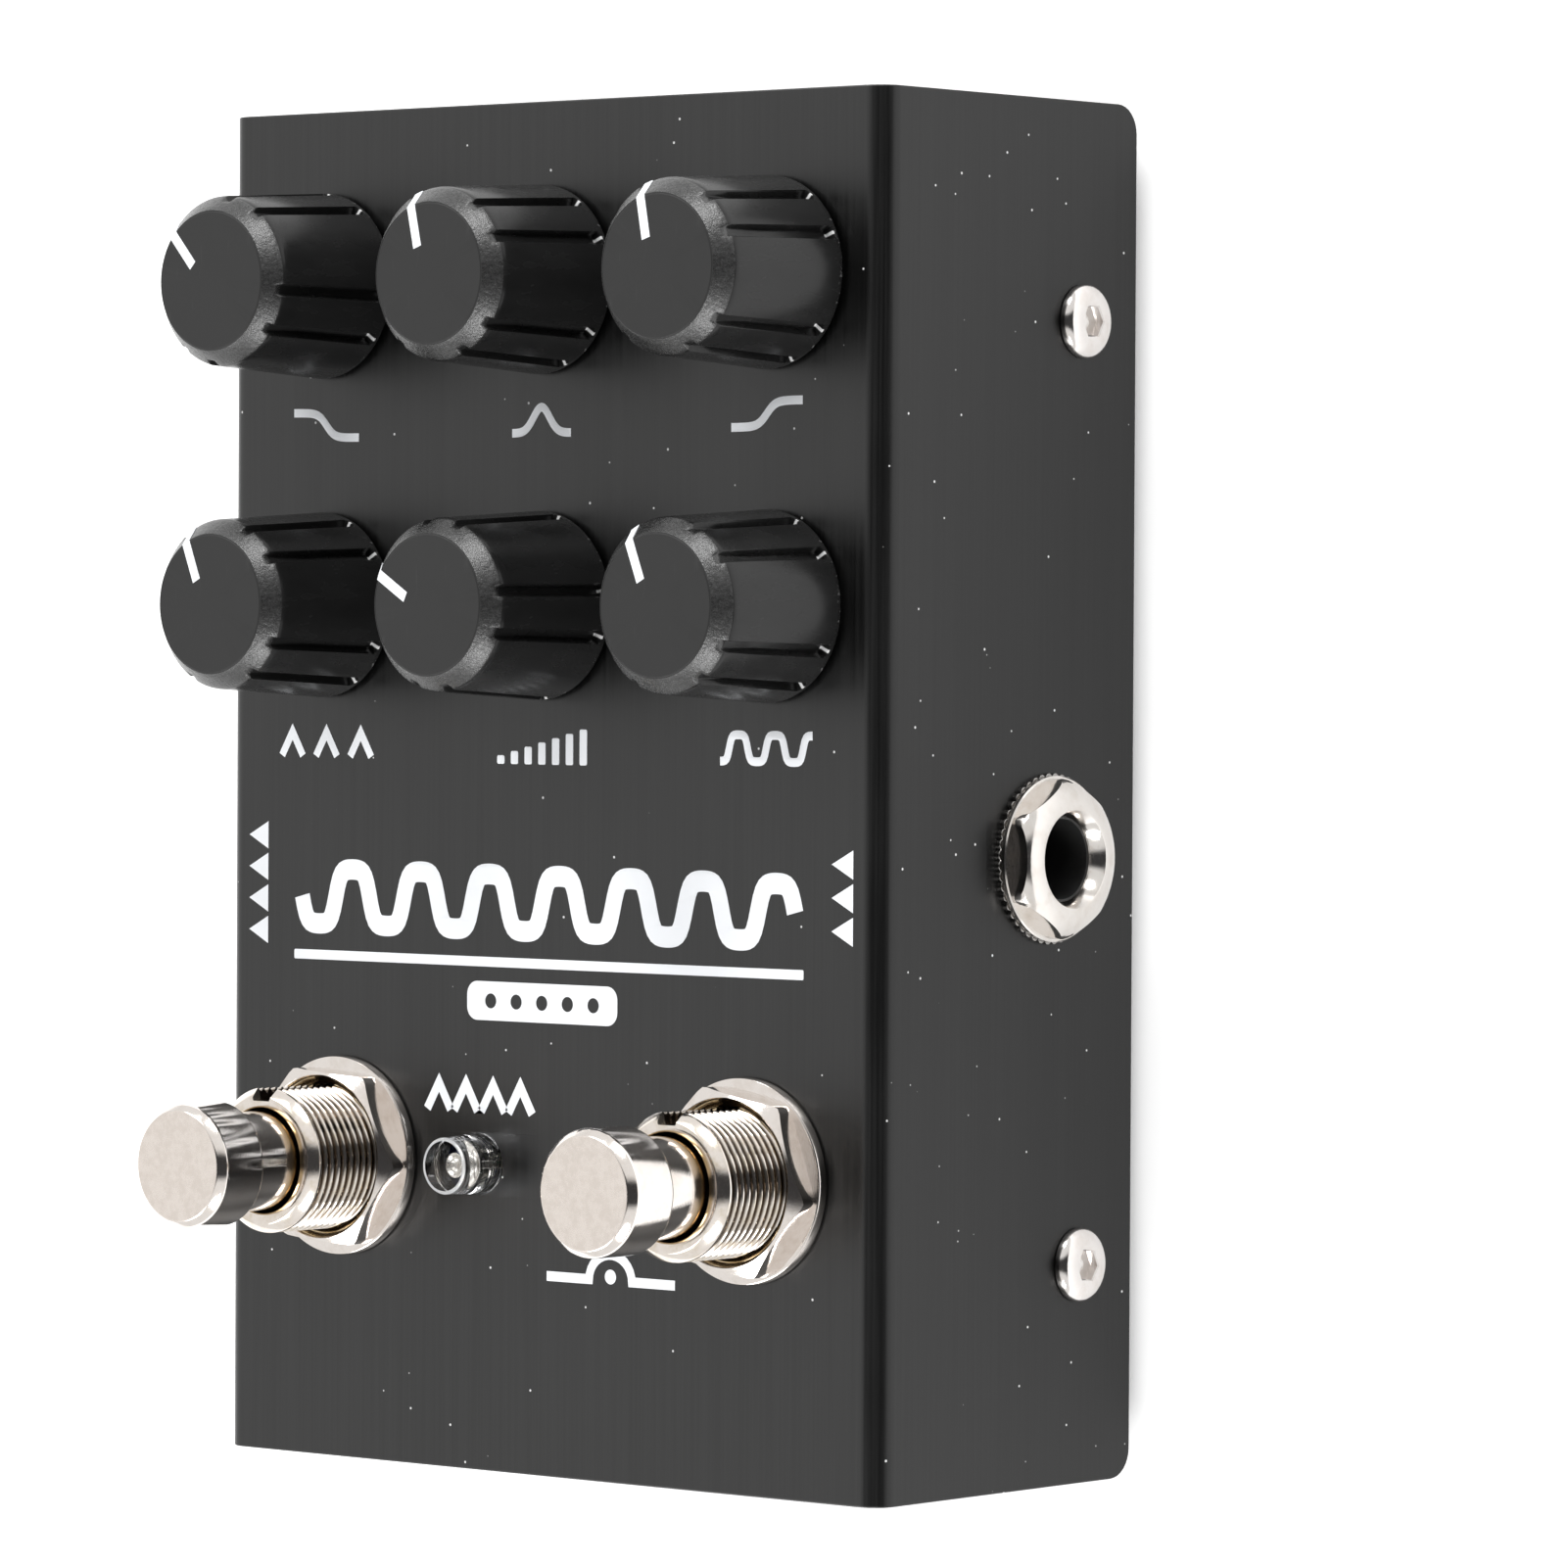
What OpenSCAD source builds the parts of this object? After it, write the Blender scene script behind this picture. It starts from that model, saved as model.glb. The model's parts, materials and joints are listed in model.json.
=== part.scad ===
// Guitar effects pedal: folded two-part case, six rotary controls, two footswitches,
// an input and an output jack, and the circuit inside.
// The pedal lies as it is used: +Z out of the control face, +Y towards the far end,
// +X towards the input jack. The origin is on the floor, under the middle of the case.

/* [Case] */
// Length of the case, from the player's end to the far end
case_len = 112; // [108:0.5:124]
// Width of the case, side to side
case_w = 71.4; // [71:0.2:80]
// Height of the case without its feet
case_h = 32.4; // [32:0.1:40]
// Thickness of the folded sheet
sheet_t = 1.5; // [1.2:0.1:1.6]
// Outer radius of the folds
fold_r = 2; // [1.8:0.1:3]
// Radius of the cover's lower corners
corner_r = 2.4; // [1:0.1:4]
// Gap between the cover and the base tray, on each side
tray_gap = 0.15; // [0.1:0.05:0.3]
// How far the end walls stand back from the cover's ends
end_inset = 0.5; // [0.2:0.1:1]

/* [Feet] */
// Height of a rubber foot
foot_h = 2.5; // [2:0.5:4]
// Side of a rubber foot where it is stuck on
foot_w = 10.2; // [8:0.2:12]
// Side of a rubber foot where it meets the floor
foot_tip_w = 8.2; // [6:0.2:8]
// Distance of a foot's middle from the case's middle, across
foot_x = 27; // [20:0.5:28]
// Distance of a foot's middle from the case's middle, along
foot_y = 46; // [36:0.5:47]

/* [Controls] */
// Distance between the columns of knobs
knob_pitch_x = 24.2; // [20:0.1:25]
// Place of the far row of knobs
knob_row_far = 41.5; // [40:0.5:43]
// Place of the near row of knobs
knob_row_near = 15; // [14:0.5:17]
// Height of a knob's front disc above the face
knob_top = 14; // [13.5:0.1:18]
// Gap between a knob's skirt and the face
knob_gap = 0.5; // [0.3:0.1:1]
// Radius of a knob's skirt
knob_base_r = 7.7; // [7.2:0.1:9]
// Radius of a knob where its bevel starts
knob_rim_r = 7; // [6.4:0.1:7.4]
// Radius of a knob's front disc
knob_disc_r = 5.75; // [5:0.05:6.2]
// Width of a grip groove in a knob
groove_w = 1; // [0.6:0.1:1.4]
// Depth of a grip groove in a knob
groove_d = 0.7; // [0.4:0.1:1]

/* [Footswitches] */
// Distance of a footswitch from the case's middle
switch_x = 22.1; // [21:0.1:23]
// Place of the footswitches along the case
switch_y = -30.8; // [-33:0.1:-30]
// Height of a threaded barrel's rim above the face
barrel_top = 9.9; // [9:0.1:11]
// Radius of a threaded barrel
barrel_r = 6; // [5.8:0.1:6.2]
// Pitch of the barrel's thread
thread_pitch = 0.75; // [0.7:0.05:1]
// Height of a plunger's cap above the face
plunger_top = 19.7; // [18:0.1:22]
// Radius of a plunger's cap
cap_r = 5.1; // [4.8:0.1:5.4]
// How far a plunger travels when it is pressed
plunger_travel = 2.8; // [1:0.1:3]

/* [Lights] */
// Distance of a light from the case's middle
led_x = 6.8; // [6:0.1:8]
// Height of a light above the face
led_top = 4.4; // [3:0.1:5]
// Radius of a light
led_r = 2.45; // [2.3:0.05:2.5]

/* [Jacks] */
// Place of the jacks along the case
jack_y = -5.2; // [-6:0.1:-4]
// Depth of a jack's axis below the face
jack_drop = 21.2; // [20:0.1:21.5]
// Radius of the hole that takes the plug
plug_r = 3.25; // [3.2:0.01:3.4]
// How far a jack's nut stands out of the side
jack_proud = 2.8; // [2.6:0.1:3.2]

/* [Side screws] */
// Distance of a side screw from the case's middle
screw_y = 38.2; // [37:0.1:39]
// Depth of a side screw below the face
screw_drop = 25.3; // [24.5:0.1:25.5]

/* [Hidden] */
$fn = 96;

// Small overlap that makes a cut run clear of a face
cut = 1;

// Room round what passes through the cover
hole_gap = 0.1;

// Heights above the floor
rim_z = foot_h;
face_z = foot_h + case_h;
ceil_z = face_z - sheet_t;
floor_z = rim_z + sheet_t;
jack_z = face_z - jack_drop;
screw_z = face_z - screw_drop;

// The tray inside the cover
tray_w = case_w - 2 * (sheet_t + tray_gap);
tray_len = case_len - 2 * end_inset;
tab_w = 12;
tab_h = 11.6;

// Controls, by column and row: low, mid and high stand in the far row
pitch = knob_pitch_x;
at_low = [-pitch, knob_row_far];
at_mid = [0, knob_row_far];
at_high = [pitch, knob_row_far];
at_boost = [-pitch, knob_row_near];
at_level = [0, knob_row_near];
at_drive = [pitch, knob_row_near];
controls = [at_low, at_mid, at_high, at_boost, at_level, at_drive];

// Angles of the pointers as the knobs are left, from +X
turn_low = 138;
turn_mid = 109;
turn_high = 107;
turn_boost = 118;
turn_level = 155;
turn_drive = 118;

// Potentiometer
pot_r = 8.2;
pot_h = 8;
bush_r = 3.5;
bush_h = 5.5;
shaft_r = 3;
shaft_top = knob_top - 2;
shaft_gap = 0.05;
pot_washer_r = 5;
pot_washer_t = 0.5;
pot_nut_af = 9;
pot_nut_t = 2;
pot_pin_r = 0.5;
pot_pin_step = 5;
pot_pin_y = -5;

// Knob
knob_z = face_z + knob_gap;
knob_h = knob_top - knob_gap;
bevel_h = 1.4;
skirt_ledge = 0.6;
nut_room_r = 5.55;
nut_room_h = 4;
groove_pair = 29;
groove_turn = 20;
grooves = 8;

// Footswitch
switch_w = 17.2;
switch_l = 17.8;
plate_t = 2;
housing_h = 11;
plate_z = ceil_z - plate_t;
housing_z = plate_z - housing_h;
barrel_z = face_z + barrel_top;
mouth_r = 4.5;
mouth_d = 0.2;
throat_r = 4.3;
guide_r = 3.25;
guide_top = face_z + 1.6;
stem_r = 3.2;
neck_r = 4.1;
thread_d = 0.42;
rim_chamfer = 0.75;
key_w = 2.2;
key_d = 1.1;
switch_washer_r = 8.3;
switch_washer_t = 1;
switch_nut_af = 14;
switch_nut_t = 2.1;
cap_z = face_z + plunger_top;
cap_h = 4.9;
cap_chamfer = 0.6;
neck_end_z = face_z + 5.6;
collar_r = 4.2;
collar_t = 1;
collar_z = plate_z - 0.2 - collar_t;
well_r = 4.6;
well_z = housing_z + 3.1;
tail_r = 1.5;
tail_z = well_z + 1;
tail_gap = 0.3;
tail_room_z = tail_z - plunger_travel - 0.5;
spring_r = 3.4;
spring_wire_r = 0.3;
spring_turns = 4.5;
lug_h = 4;
lug_step_x = 5;
lug_step_y = 4.5;

// Switch board, under the lugs
board_t = 1.6;
switch_board_z = housing_z - lug_h - board_t;
switch_board_w = 61;
switch_board_l = 19;

// Main board, under the potentiometers
board_gap = 1.9;
main_board_z = ceil_z - pot_h - board_gap - board_t;
main_board_w = 64;
main_board_y0 = 3.5;
main_board_y1 = 52.5;

// Jacks
jack_body_l = 26;
jack_body_w = 14.5;
jack_body_h = 13;
jack_thread_r = 4.5;
thread_proud = jack_proud - 1.4;
jack_hole_r = 4.6;
nut_lip_r = 3.4;
nut_mouth_r = 3.95;
jack_washer_r = 6.9;
jack_washer_t = 0.4;
washer_teeth = 40;
jack_flange_r = 6.7;
jack_flange_t = 0.5;
jack_nut_af = 11.4;
plug_depth = 24;
contact_t = 0.4;

// Power jack, under the main board
dc_w = 9;
dc_l = 14;
dc_h = 11;
dc_axis_drop = 6.5;
dc_bore_r = 3.05;
dc_bore_l = 9.5;
dc_pin_r = 1;
dc_tail_r = 0.7;
dc_hole_r = 4.75;
dc_front_y = tray_len / 2 - sheet_t - 0.3;
dc_z = main_board_z - dc_axis_drop;

// Side screws
screw_r = 1.5;
screw_hole_r = 1.65;
screw_len = 6;
head_r = 3;
head_h = 1.15;
key_af = 2.3;
key_deep = 0.8;
clinch_r = 2.1;
clinch_head_r = 3;

// Radius of a hexagon's corners from its width across the flats
function hex_r(across) = across / sqrt(3);

// Points of an arc about a middle, from one angle to another
function arc(middle, r, from, to, steps = 8) =
    [for (i = [0 : steps])
        let (a = from + (to - from) * i / steps)
        middle + r * [cos(a), sin(a)]];

// Point on a curve through four control points
function bezier(p, t) =
    pow(1 - t, 3) * p[0] + 3 * pow(1 - t, 2) * t * p[1]
    + 3 * (1 - t) * t * t * p[2] + pow(t, 3) * p[3];

// Unit direction at point i of a route
function heading(route, i) =
    let (a = route[max(i - 1, 0)], b = route[min(i + 1, len(route) - 1)])
    (b - a) / norm(b - a);

// Two unit vectors square to a direction
function square_to(d) =
    let (side = abs(d[0]) < 0.9 ? [1, 0, 0] : [0, 1, 0],
         u = cross(d, side) / norm(cross(d, side)))
    [u, cross(d, u)];

// Solid of round section along a route
module wire(route, r, sides = 8) {
    rings = [for (i = [0 : len(route) - 1])
        let (uv = square_to(heading(route, i)))
        for (k = [0 : sides - 1])
            route[i] + r * (cos(k * 360 / sides) * uv[0] + sin(k * 360 / sides) * uv[1])];
    last = len(rings) - sides;
    walls = [for (i = [0 : len(route) - 2], k = [0 : sides - 1])
        let (a = i * sides + k, b = i * sides + (k + 1) % sides)
        [a, b, b + sides, a + sides]];
    ends = [[for (k = [sides - 1 : -1 : 0]) k], [for (k = [0 : sides - 1]) last + k]];
    polyhedron(points = rings, faces = concat(walls, ends));
}

// Copies of a child on the left and on the right
module both_sides() {
    children();
    mirror([1, 0, 0]) children();
}

// Copies of a child at the four corners
module four_corners() {
    both_sides() {
        children();
        mirror([0, 1, 0]) children();
    }
}

// Copies of a child at both footswitches
module at_switches() {
    for (s = [-1, 1]) translate([s * switch_x, switch_y, 0]) children();
}

// Flat shape with its two upper corners rounded, standing on y = 0
module arch(w, h, r) {
    translate([-w / 2, 0]) square([w, h - r]);
    translate([r - w / 2, 0]) square([w - 2 * r, h]);
    for (s = [-1, 1]) translate([s * (w / 2 - r), h - r]) circle(r);
}

// Sheet folded to a channel that is open below, along Y
module channel(w, h, t, r, length) {
    rotate([90, 0, 0]) linear_extrude(length, center = true) difference() {
        arch(w, h, r);
        translate([0, -cut]) arch(w - 2 * t, h - t + cut, r - t);
    }
}

// Case
module cover() {
    color("#3c3c3d") difference() {
        intersection() {
            translate([0, 0, rim_z]) channel(case_w, case_h, sheet_t, fold_r, case_len);
            translate([0, 0, face_z + cut]) mirror([0, 0, 1]) rotate([90, 0, 90])
                linear_extrude(case_w + 2 * cut, center = true)
                    arch(case_len, case_h + cut, corner_r);
        }
        for (p = controls) translate([p[0], p[1], ceil_z - cut])
            cylinder(h = sheet_t + 2 * cut, r = bush_r + hole_gap);
        at_switches() translate([0, 0, ceil_z - cut])
            cylinder(h = sheet_t + 2 * cut, r = barrel_r + hole_gap);
        both_sides() translate([led_x, switch_y, ceil_z - cut])
            cylinder(h = sheet_t + 2 * cut, r = led_r + hole_gap / 2);
        both_sides() translate([case_w / 2 + cut, jack_y, jack_z]) rotate([0, -90, 0])
            cylinder(h = sheet_t + 2 * cut, r = jack_hole_r);
        four_corners() translate([case_w / 2 + cut, screw_y, screw_z]) rotate([0, -90, 0])
            cylinder(h = sheet_t + 2 * cut, r = screw_hole_r);
    }
}

module base_tray() {
    wall_h = case_h - sheet_t - tray_gap;
    color("#343435") difference() {
        union() {
            translate([0, 0, rim_z + wall_h]) mirror([0, 0, 1]) rotate([0, 0, 90])
                channel(tray_len, wall_h, sheet_t, fold_r, tray_w);
            four_corners() translate([tray_w / 2 - sheet_t, screw_y - tab_w / 2, floor_z - cut / 2])
                cube([sheet_t, tab_w, tab_h + cut / 2]);
        }
        translate([0, tray_len / 2 + cut, dc_z]) rotate([90, 0, 0])
            cylinder(h = sheet_t + 2 * cut, r = dc_hole_r);
        four_corners() translate([tray_w / 2 + cut, screw_y, screw_z]) rotate([0, -90, 0])
            cylinder(h = sheet_t + 2 * cut, r = clinch_r);
    }
}

module clinch_nuts() {
    color("silver") four_corners() translate([tray_w / 2, screw_y, screw_z]) rotate([0, -90, 0])
        difference() {
            union() {
                cylinder(h = sheet_t, r = clinch_r);
                translate([0, 0, sheet_t]) cylinder(h = sheet_t, r = clinch_head_r);
            }
            translate([0, 0, -cut]) cylinder(h = 2 * sheet_t + 2 * cut, r = screw_r);
        }
}

module cover_screws() {
    // The dome is an arc through the head's edge and its crown
    crown_r = head_r * 0.55;
    color("#c9c5bc") four_corners() translate([case_w / 2, screw_y, screw_z]) rotate([0, 90, 0]) {
        difference() {
            rotate_extrude() polygon(concat(
                [[0, 0], [head_r, 0], [head_r, 0.35]],
                [for (i = [1 : 6]) [head_r - (head_r - crown_r) * (1 - cos(i * 15)),
                                    0.35 + (head_h - 0.35) * sin(i * 15)]],
                [[0, head_h]]));
            translate([0, 0, head_h - key_deep])
                cylinder(h = key_deep + cut, r = hex_r(key_af), $fn = 6);
        }
        translate([0, 0, -screw_len]) cylinder(h = screw_len, r = screw_r);
    }
}

module rubber_feet() {
    color("#262626") four_corners() translate([foot_x, foot_y, 0]) intersection() {
        foot_wedge();
        rotate([0, 0, 90]) foot_wedge();
    }
}

module foot_wedge() {
    rotate([90, 0, 0]) linear_extrude(foot_w + 2 * cut, center = true)
        polygon([[-foot_tip_w / 2, 0], [foot_tip_w / 2, 0], [foot_w / 2, foot_h - 0.4],
                 [foot_w / 2, foot_h], [-foot_w / 2, foot_h], [-foot_w / 2, foot_h - 0.4]]);
}

// Controls
module knob(at, turn) {
    bevel_z = knob_h - bevel_h;
    lean = atan2(knob_base_r - knob_rim_r, bevel_z);
    color("#1c1c1d") translate([at[0], at[1], knob_z]) rotate([0, 0, turn]) difference() {
        rotate_extrude() polygon([
            [0, nut_room_h], [nut_room_r, nut_room_h], [nut_room_r, 0], [knob_base_r, 0],
            [knob_rim_r, bevel_z], [knob_disc_r, knob_h], [0, knob_h]]);
        translate([0, 0, nut_room_h - cut])
            cylinder(h = face_z + shaft_top - knob_z - nut_room_h + cut, r = shaft_r);
        for (i = [0 : grooves - 1])
            rotate([0, 0, groove_turn + floor(i / 2) * 90 + (i % 2 - 0.5) * groove_pair])
                translate([knob_base_r, 0, 0]) rotate([0, -lean, 0])
                    translate([-groove_d, -groove_w / 2, skirt_ledge])
                        cube([2 * groove_d, groove_w, knob_h]);
    }
}

module knob_low() { knob(at_low, turn_low); }
module knob_mid() { knob(at_mid, turn_mid); }
module knob_high() { knob(at_high, turn_high); }
module knob_boost() { knob(at_boost, turn_boost); }
module knob_level() { knob(at_level, turn_level); }
module knob_drive() { knob(at_drive, turn_drive); }

module pot_shaft(at) {
    wiper_r = 5.2;
    wiper_z = ceil_z - 4;
    color("#b9bbbe") translate([at[0], at[1], 0]) rotate_extrude() polygon([
        [0, wiper_z - 1], [wiper_r, wiper_z - 1], [wiper_r, wiper_z], [shaft_r, wiper_z],
        [shaft_r, face_z + shaft_top], [0, face_z + shaft_top]]);
}

module pot_shaft_low() { pot_shaft(at_low); }
module pot_shaft_mid() { pot_shaft(at_mid); }
module pot_shaft_high() { pot_shaft(at_high); }
module pot_shaft_boost() { pot_shaft(at_boost); }
module pot_shaft_level() { pot_shaft(at_level); }
module pot_shaft_drive() { pot_shaft(at_drive); }

// The can is hollow round the wiper disc, and its bush guides the shaft
module pot(at) {
    can_t = 0.8;
    room_r = 5.55;
    color("#9fa2a6") translate([at[0], at[1], ceil_z]) rotate_extrude() polygon([
        [0, -pot_h], [pot_r, -pot_h], [pot_r, 0], [bush_r, 0], [bush_r, bush_h],
        [shaft_r + shaft_gap, bush_h], [shaft_r + shaft_gap, -2 * can_t],
        [room_r, -2 * can_t], [room_r, can_t - pot_h], [0, can_t - pot_h]]);
}

module pot_low() { pot(at_low); }
module pot_mid() { pot(at_mid); }
module pot_high() { pot(at_high); }
module pot_boost() { pot(at_boost); }
module pot_level() { pot(at_level); }
module pot_drive() { pot(at_drive); }

module pot_nuts() {
    color("#c3b58f") for (p = controls)
        translate([p[0], p[1], face_z + pot_washer_t])
            hex_nut(pot_nut_af, pot_nut_t, bush_r);
}

module pot_washers() {
    color("silver") for (p = controls) translate([p[0], p[1], face_z])
        ring(pot_washer_r, bush_r, pot_washer_t);
}

module pot_pins() {
    color("silver") for (p = controls, i = [-1 : 1])
        translate([p[0] + i * pot_pin_step, p[1] + pot_pin_y, ceil_z - pot_h - board_gap])
            cylinder(h = board_gap, r = pot_pin_r, $fn = 24);
}

// Flat ring with its lower face on z = 0
module ring(r, hole_r, t) {
    difference() {
        cylinder(h = t, r = r);
        translate([0, 0, -cut]) cylinder(h = t + 2 * cut, r = hole_r);
    }
}

// Hexagonal nut, chamfered round its upper corners and inside its mouth
module hex_nut(across, t, hole_r) {
    edge_r = hex_r(across);
    top_r = across / 2 - 0.2;
    mouth = 0.6;
    difference() {
        intersection() {
            cylinder(h = t, r = edge_r, $fn = 6);
            rotate_extrude() polygon([[0, 0], [edge_r + cut, 0],
                [edge_r + cut, t - (edge_r + cut - top_r) * tan(30)], [top_r, t], [0, t]]);
        }
        rotate_extrude() polygon([[0, -cut], [hole_r, -cut], [hole_r, t - mouth],
            [hole_r + mouth, t], [hole_r + mouth, t + cut], [0, t + cut]]);
    }
}

// Footswitches
module switch_barrel() {
    thread_z0 = face_z + switch_washer_t;
    crests = floor((barrel_z - rim_chamfer - thread_z0) / thread_pitch);
    thread_z1 = thread_z0 + crests * thread_pitch;
    crest = [for (i = [0 : crests - 1]) each [
        [barrel_r, thread_z0 + (i + 0.05) * thread_pitch],
        [barrel_r - thread_d, thread_z0 + (i + 0.45) * thread_pitch],
        [barrel_r - thread_d, thread_z0 + (i + 0.55) * thread_pitch],
        [barrel_r, thread_z0 + (i + 0.95) * thread_pitch]]];
    color("#c9c5bc") difference() {
        union() {
            rotate_extrude() polygon(concat(
                [[guide_r, plate_z], [barrel_r, plate_z]], crest,
                [[barrel_r, thread_z1], [barrel_r, barrel_z - rim_chamfer],
                 [barrel_r - rim_chamfer, barrel_z], [mouth_r, barrel_z],
                 [throat_r, barrel_z - mouth_d], [throat_r, guide_top], [guide_r, guide_top]]));
            translate([0, 0, plate_z]) difference() {
                translate([-switch_w / 2, -switch_l / 2, 0]) cube([switch_w, switch_l, plate_t]);
                translate([0, 0, -cut]) cylinder(h = plate_t + 2 * cut, r = barrel_r - cut);
            }
        }
        translate([-key_w / 2, barrel_r - key_d, face_z])
            cube([key_w, key_d + cut, barrel_top + cut]);
    }
}

module switch_housing() {
    color("#27408b") translate([0, 0, housing_z]) difference() {
        translate([-switch_w / 2, -switch_l / 2, 0]) cube([switch_w, switch_l, housing_h]);
        translate([0, 0, well_z - housing_z]) cylinder(h = housing_h, r = well_r);
        translate([0, 0, tail_room_z - housing_z]) cylinder(h = housing_h, r = tail_r + tail_gap);
    }
}

module plunger() {
    color("#d2cfc8") rotate_extrude() polygon([
        [0, tail_z], [tail_r, tail_z], [tail_r, collar_z], [collar_r, collar_z],
        [collar_r, collar_z + collar_t], [stem_r, collar_z + collar_t],
        [stem_r, neck_end_z - neck_r + stem_r], [neck_r, neck_end_z], [neck_r, cap_z - cap_h],
        [cap_r, cap_z - cap_h], [cap_r, cap_z - cap_chamfer], [cap_r - cap_chamfer, cap_z],
        [0, cap_z]]);
}

module return_spring() {
    steps = 14;
    low = well_z + spring_wire_r;
    rise = collar_z - well_z - 2 * spring_wire_r;
    coil = [for (i = [0 : spring_turns * steps])
        let (a = i * 360 / steps, t = i / (spring_turns * steps))
        [spring_r * cos(a), spring_r * sin(a), low + rise * t]];
    color("silver") wire(coil, spring_wire_r, 6);
}

module at_boost_switch() { translate([-switch_x, switch_y, 0]) children(); }
module at_bypass_switch() { translate([switch_x, switch_y, 0]) children(); }

module boost_switch_barrel() { at_boost_switch() switch_barrel(); }
module bypass_switch_barrel() { at_bypass_switch() switch_barrel(); }
module boost_switch_housing() { at_boost_switch() switch_housing(); }
module bypass_switch_housing() { at_bypass_switch() switch_housing(); }
module boost_plunger() { at_boost_switch() plunger(); }
module bypass_plunger() { at_bypass_switch() plunger(); }
module boost_return_spring() { at_boost_switch() return_spring(); }
module bypass_return_spring() { at_bypass_switch() return_spring(); }

module switch_nuts() {
    color("#cfcbc2") at_switches() translate([0, 0, face_z + switch_washer_t])
        hex_nut(switch_nut_af, switch_nut_t, barrel_r);
}

module switch_washers() {
    color("#cfcbc2") at_switches() translate([0, 0, face_z])
        ring(switch_washer_r, barrel_r, switch_washer_t);
}

module switch_lugs() {
    lug_w = 2;
    lug_t = 0.8;
    color("silver") at_switches() for (i = [-1 : 1], j = [-1 : 1])
        translate([i * lug_step_x - lug_w / 2, j * lug_step_y - lug_t / 2, housing_z - lug_h])
            cube([lug_w, lug_t, lug_h]);
}

// Lights: clear lenses with a flange inside the cover
module led_lens() {
    flange_r = 2.9;
    edge = 0.25;
    color("#dfe3e6", 0.6) rotate_extrude() polygon(concat(
        [[0, ceil_z - 1], [flange_r, ceil_z - 1], [flange_r, ceil_z], [led_r, ceil_z]],
        arc([led_r - edge, face_z + led_top - edge], edge, 0, 90, 4),
        [[0, face_z + led_top]]));
}

module led_boost() { translate([-led_x, switch_y, 0]) led_lens(); }
module led_bypass() { translate([led_x, switch_y, 0]) led_lens(); }

module led_leads() {
    lead_w = 0.5;
    lead_step = 1.27;
    low = switch_board_z + board_t;
    color("silver") both_sides() for (s = [-1, 1])
        translate([led_x + s * lead_step - lead_w / 2, switch_y - lead_w / 2, low])
            cube([lead_w, lead_w, ceil_z - 1 - low]);
}

// Jacks: the body stands inside the wall, and its threaded neck goes through the hole
module phone_jack() {
    inside = case_w / 2 - sheet_t;
    mouth_x = case_w / 2 + thread_proud;
    color("#1d1d1e") translate([0, jack_y, jack_z]) difference() {
        union() {
            translate([inside - jack_body_l, -jack_body_w / 2, -jack_body_h / 2])
                cube([jack_body_l, jack_body_w, jack_body_h]);
            translate([inside - cut, 0, 0]) rotate([0, 90, 0])
                cylinder(h = mouth_x - inside + cut, r = jack_thread_r);
        }
        translate([mouth_x - plug_depth, 0, 0]) rotate([0, 90, 0])
            cylinder(h = plug_depth + cut, r = plug_r);
        for (x = [14, 22]) translate([inside - x, -1.2, plug_r - 0.6])
            cube([2.4, 2.4, jack_body_h]);
    }
}

// Spring blades that stand in the body's slots, and lugs on its inner end
module phone_jack_contacts() {
    inside = case_w / 2 - sheet_t;
    color("#c8b277") translate([0, jack_y, jack_z]) {
        for (x = [14, 22]) translate([inside - x + 1, -1, plug_r + 0.3])
            cube([contact_t, 2, jack_body_h / 2 - plug_r + 0.7]);
        for (y = [-4, 4]) translate([inside - jack_body_l - 2.4, y - 1, -contact_t / 2])
            cube([2.4, 2, contact_t]);
    }
}

module input_jack() { phone_jack(); }
module output_jack() { mirror([1, 0, 0]) phone_jack(); }
module input_jack_contacts() { phone_jack_contacts(); }
module output_jack_contacts() { mirror([1, 0, 0]) phone_jack_contacts(); }

// Hexagonal nut with a flange behind it and a domed front that closes in to a lip
module jack_nuts() {
    z0 = jack_washer_t;
    z1 = z0 + jack_flange_t;
    edge_r = hex_r(jack_nut_af);
    front_r = 4.2;
    dome_h = jack_proud - z1;
    dome = [for (i = [0 : 9]) [front_r + (edge_r - front_r) * cos(i * 10),
                               z1 + dome_h * sin(i * 10)]];
    color("#d2cfc8") both_sides() translate([case_w / 2, jack_y, jack_z]) rotate([0, 90, 0])
        difference() {
            union() {
                translate([0, 0, z0]) cylinder(h = jack_flange_t, r = jack_flange_r);
                intersection() {
                    translate([0, 0, z1 - 0.1]) rotate([0, 0, 30])
                        cylinder(h = jack_proud, r = edge_r, $fn = 6);
                    rotate_extrude() polygon(concat([[0, 0], [edge_r, 0]], dome,
                                                    [[0, jack_proud]]));
                }
            }
            translate([0, 0, -cut]) cylinder(h = thread_proud + cut, r = jack_thread_r);
            cylinder(h = jack_proud, r = nut_lip_r);
            translate([0, 0, thread_proud])
                cylinder(h = jack_proud - thread_proud + cut, r1 = nut_lip_r, r2 = nut_mouth_r);
        }
}

module jack_washers() {
    tooth = 0.4;
    color("#bdbab3") both_sides() translate([case_w / 2, jack_y, jack_z]) rotate([0, 90, 0])
        difference() {
            cylinder(h = jack_washer_t, r = jack_washer_r);
            translate([0, 0, -cut]) cylinder(h = jack_washer_t + 2 * cut, r = jack_hole_r);
            for (i = [0 : washer_teeth - 1]) rotate([0, 0, i * 360 / washer_teeth])
                translate([jack_washer_r, 0, -cut]) rotate([0, 0, 45])
                    cube([tooth, tooth, 2 * (jack_washer_t + 2 * cut)], center = true);
        }
}

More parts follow.
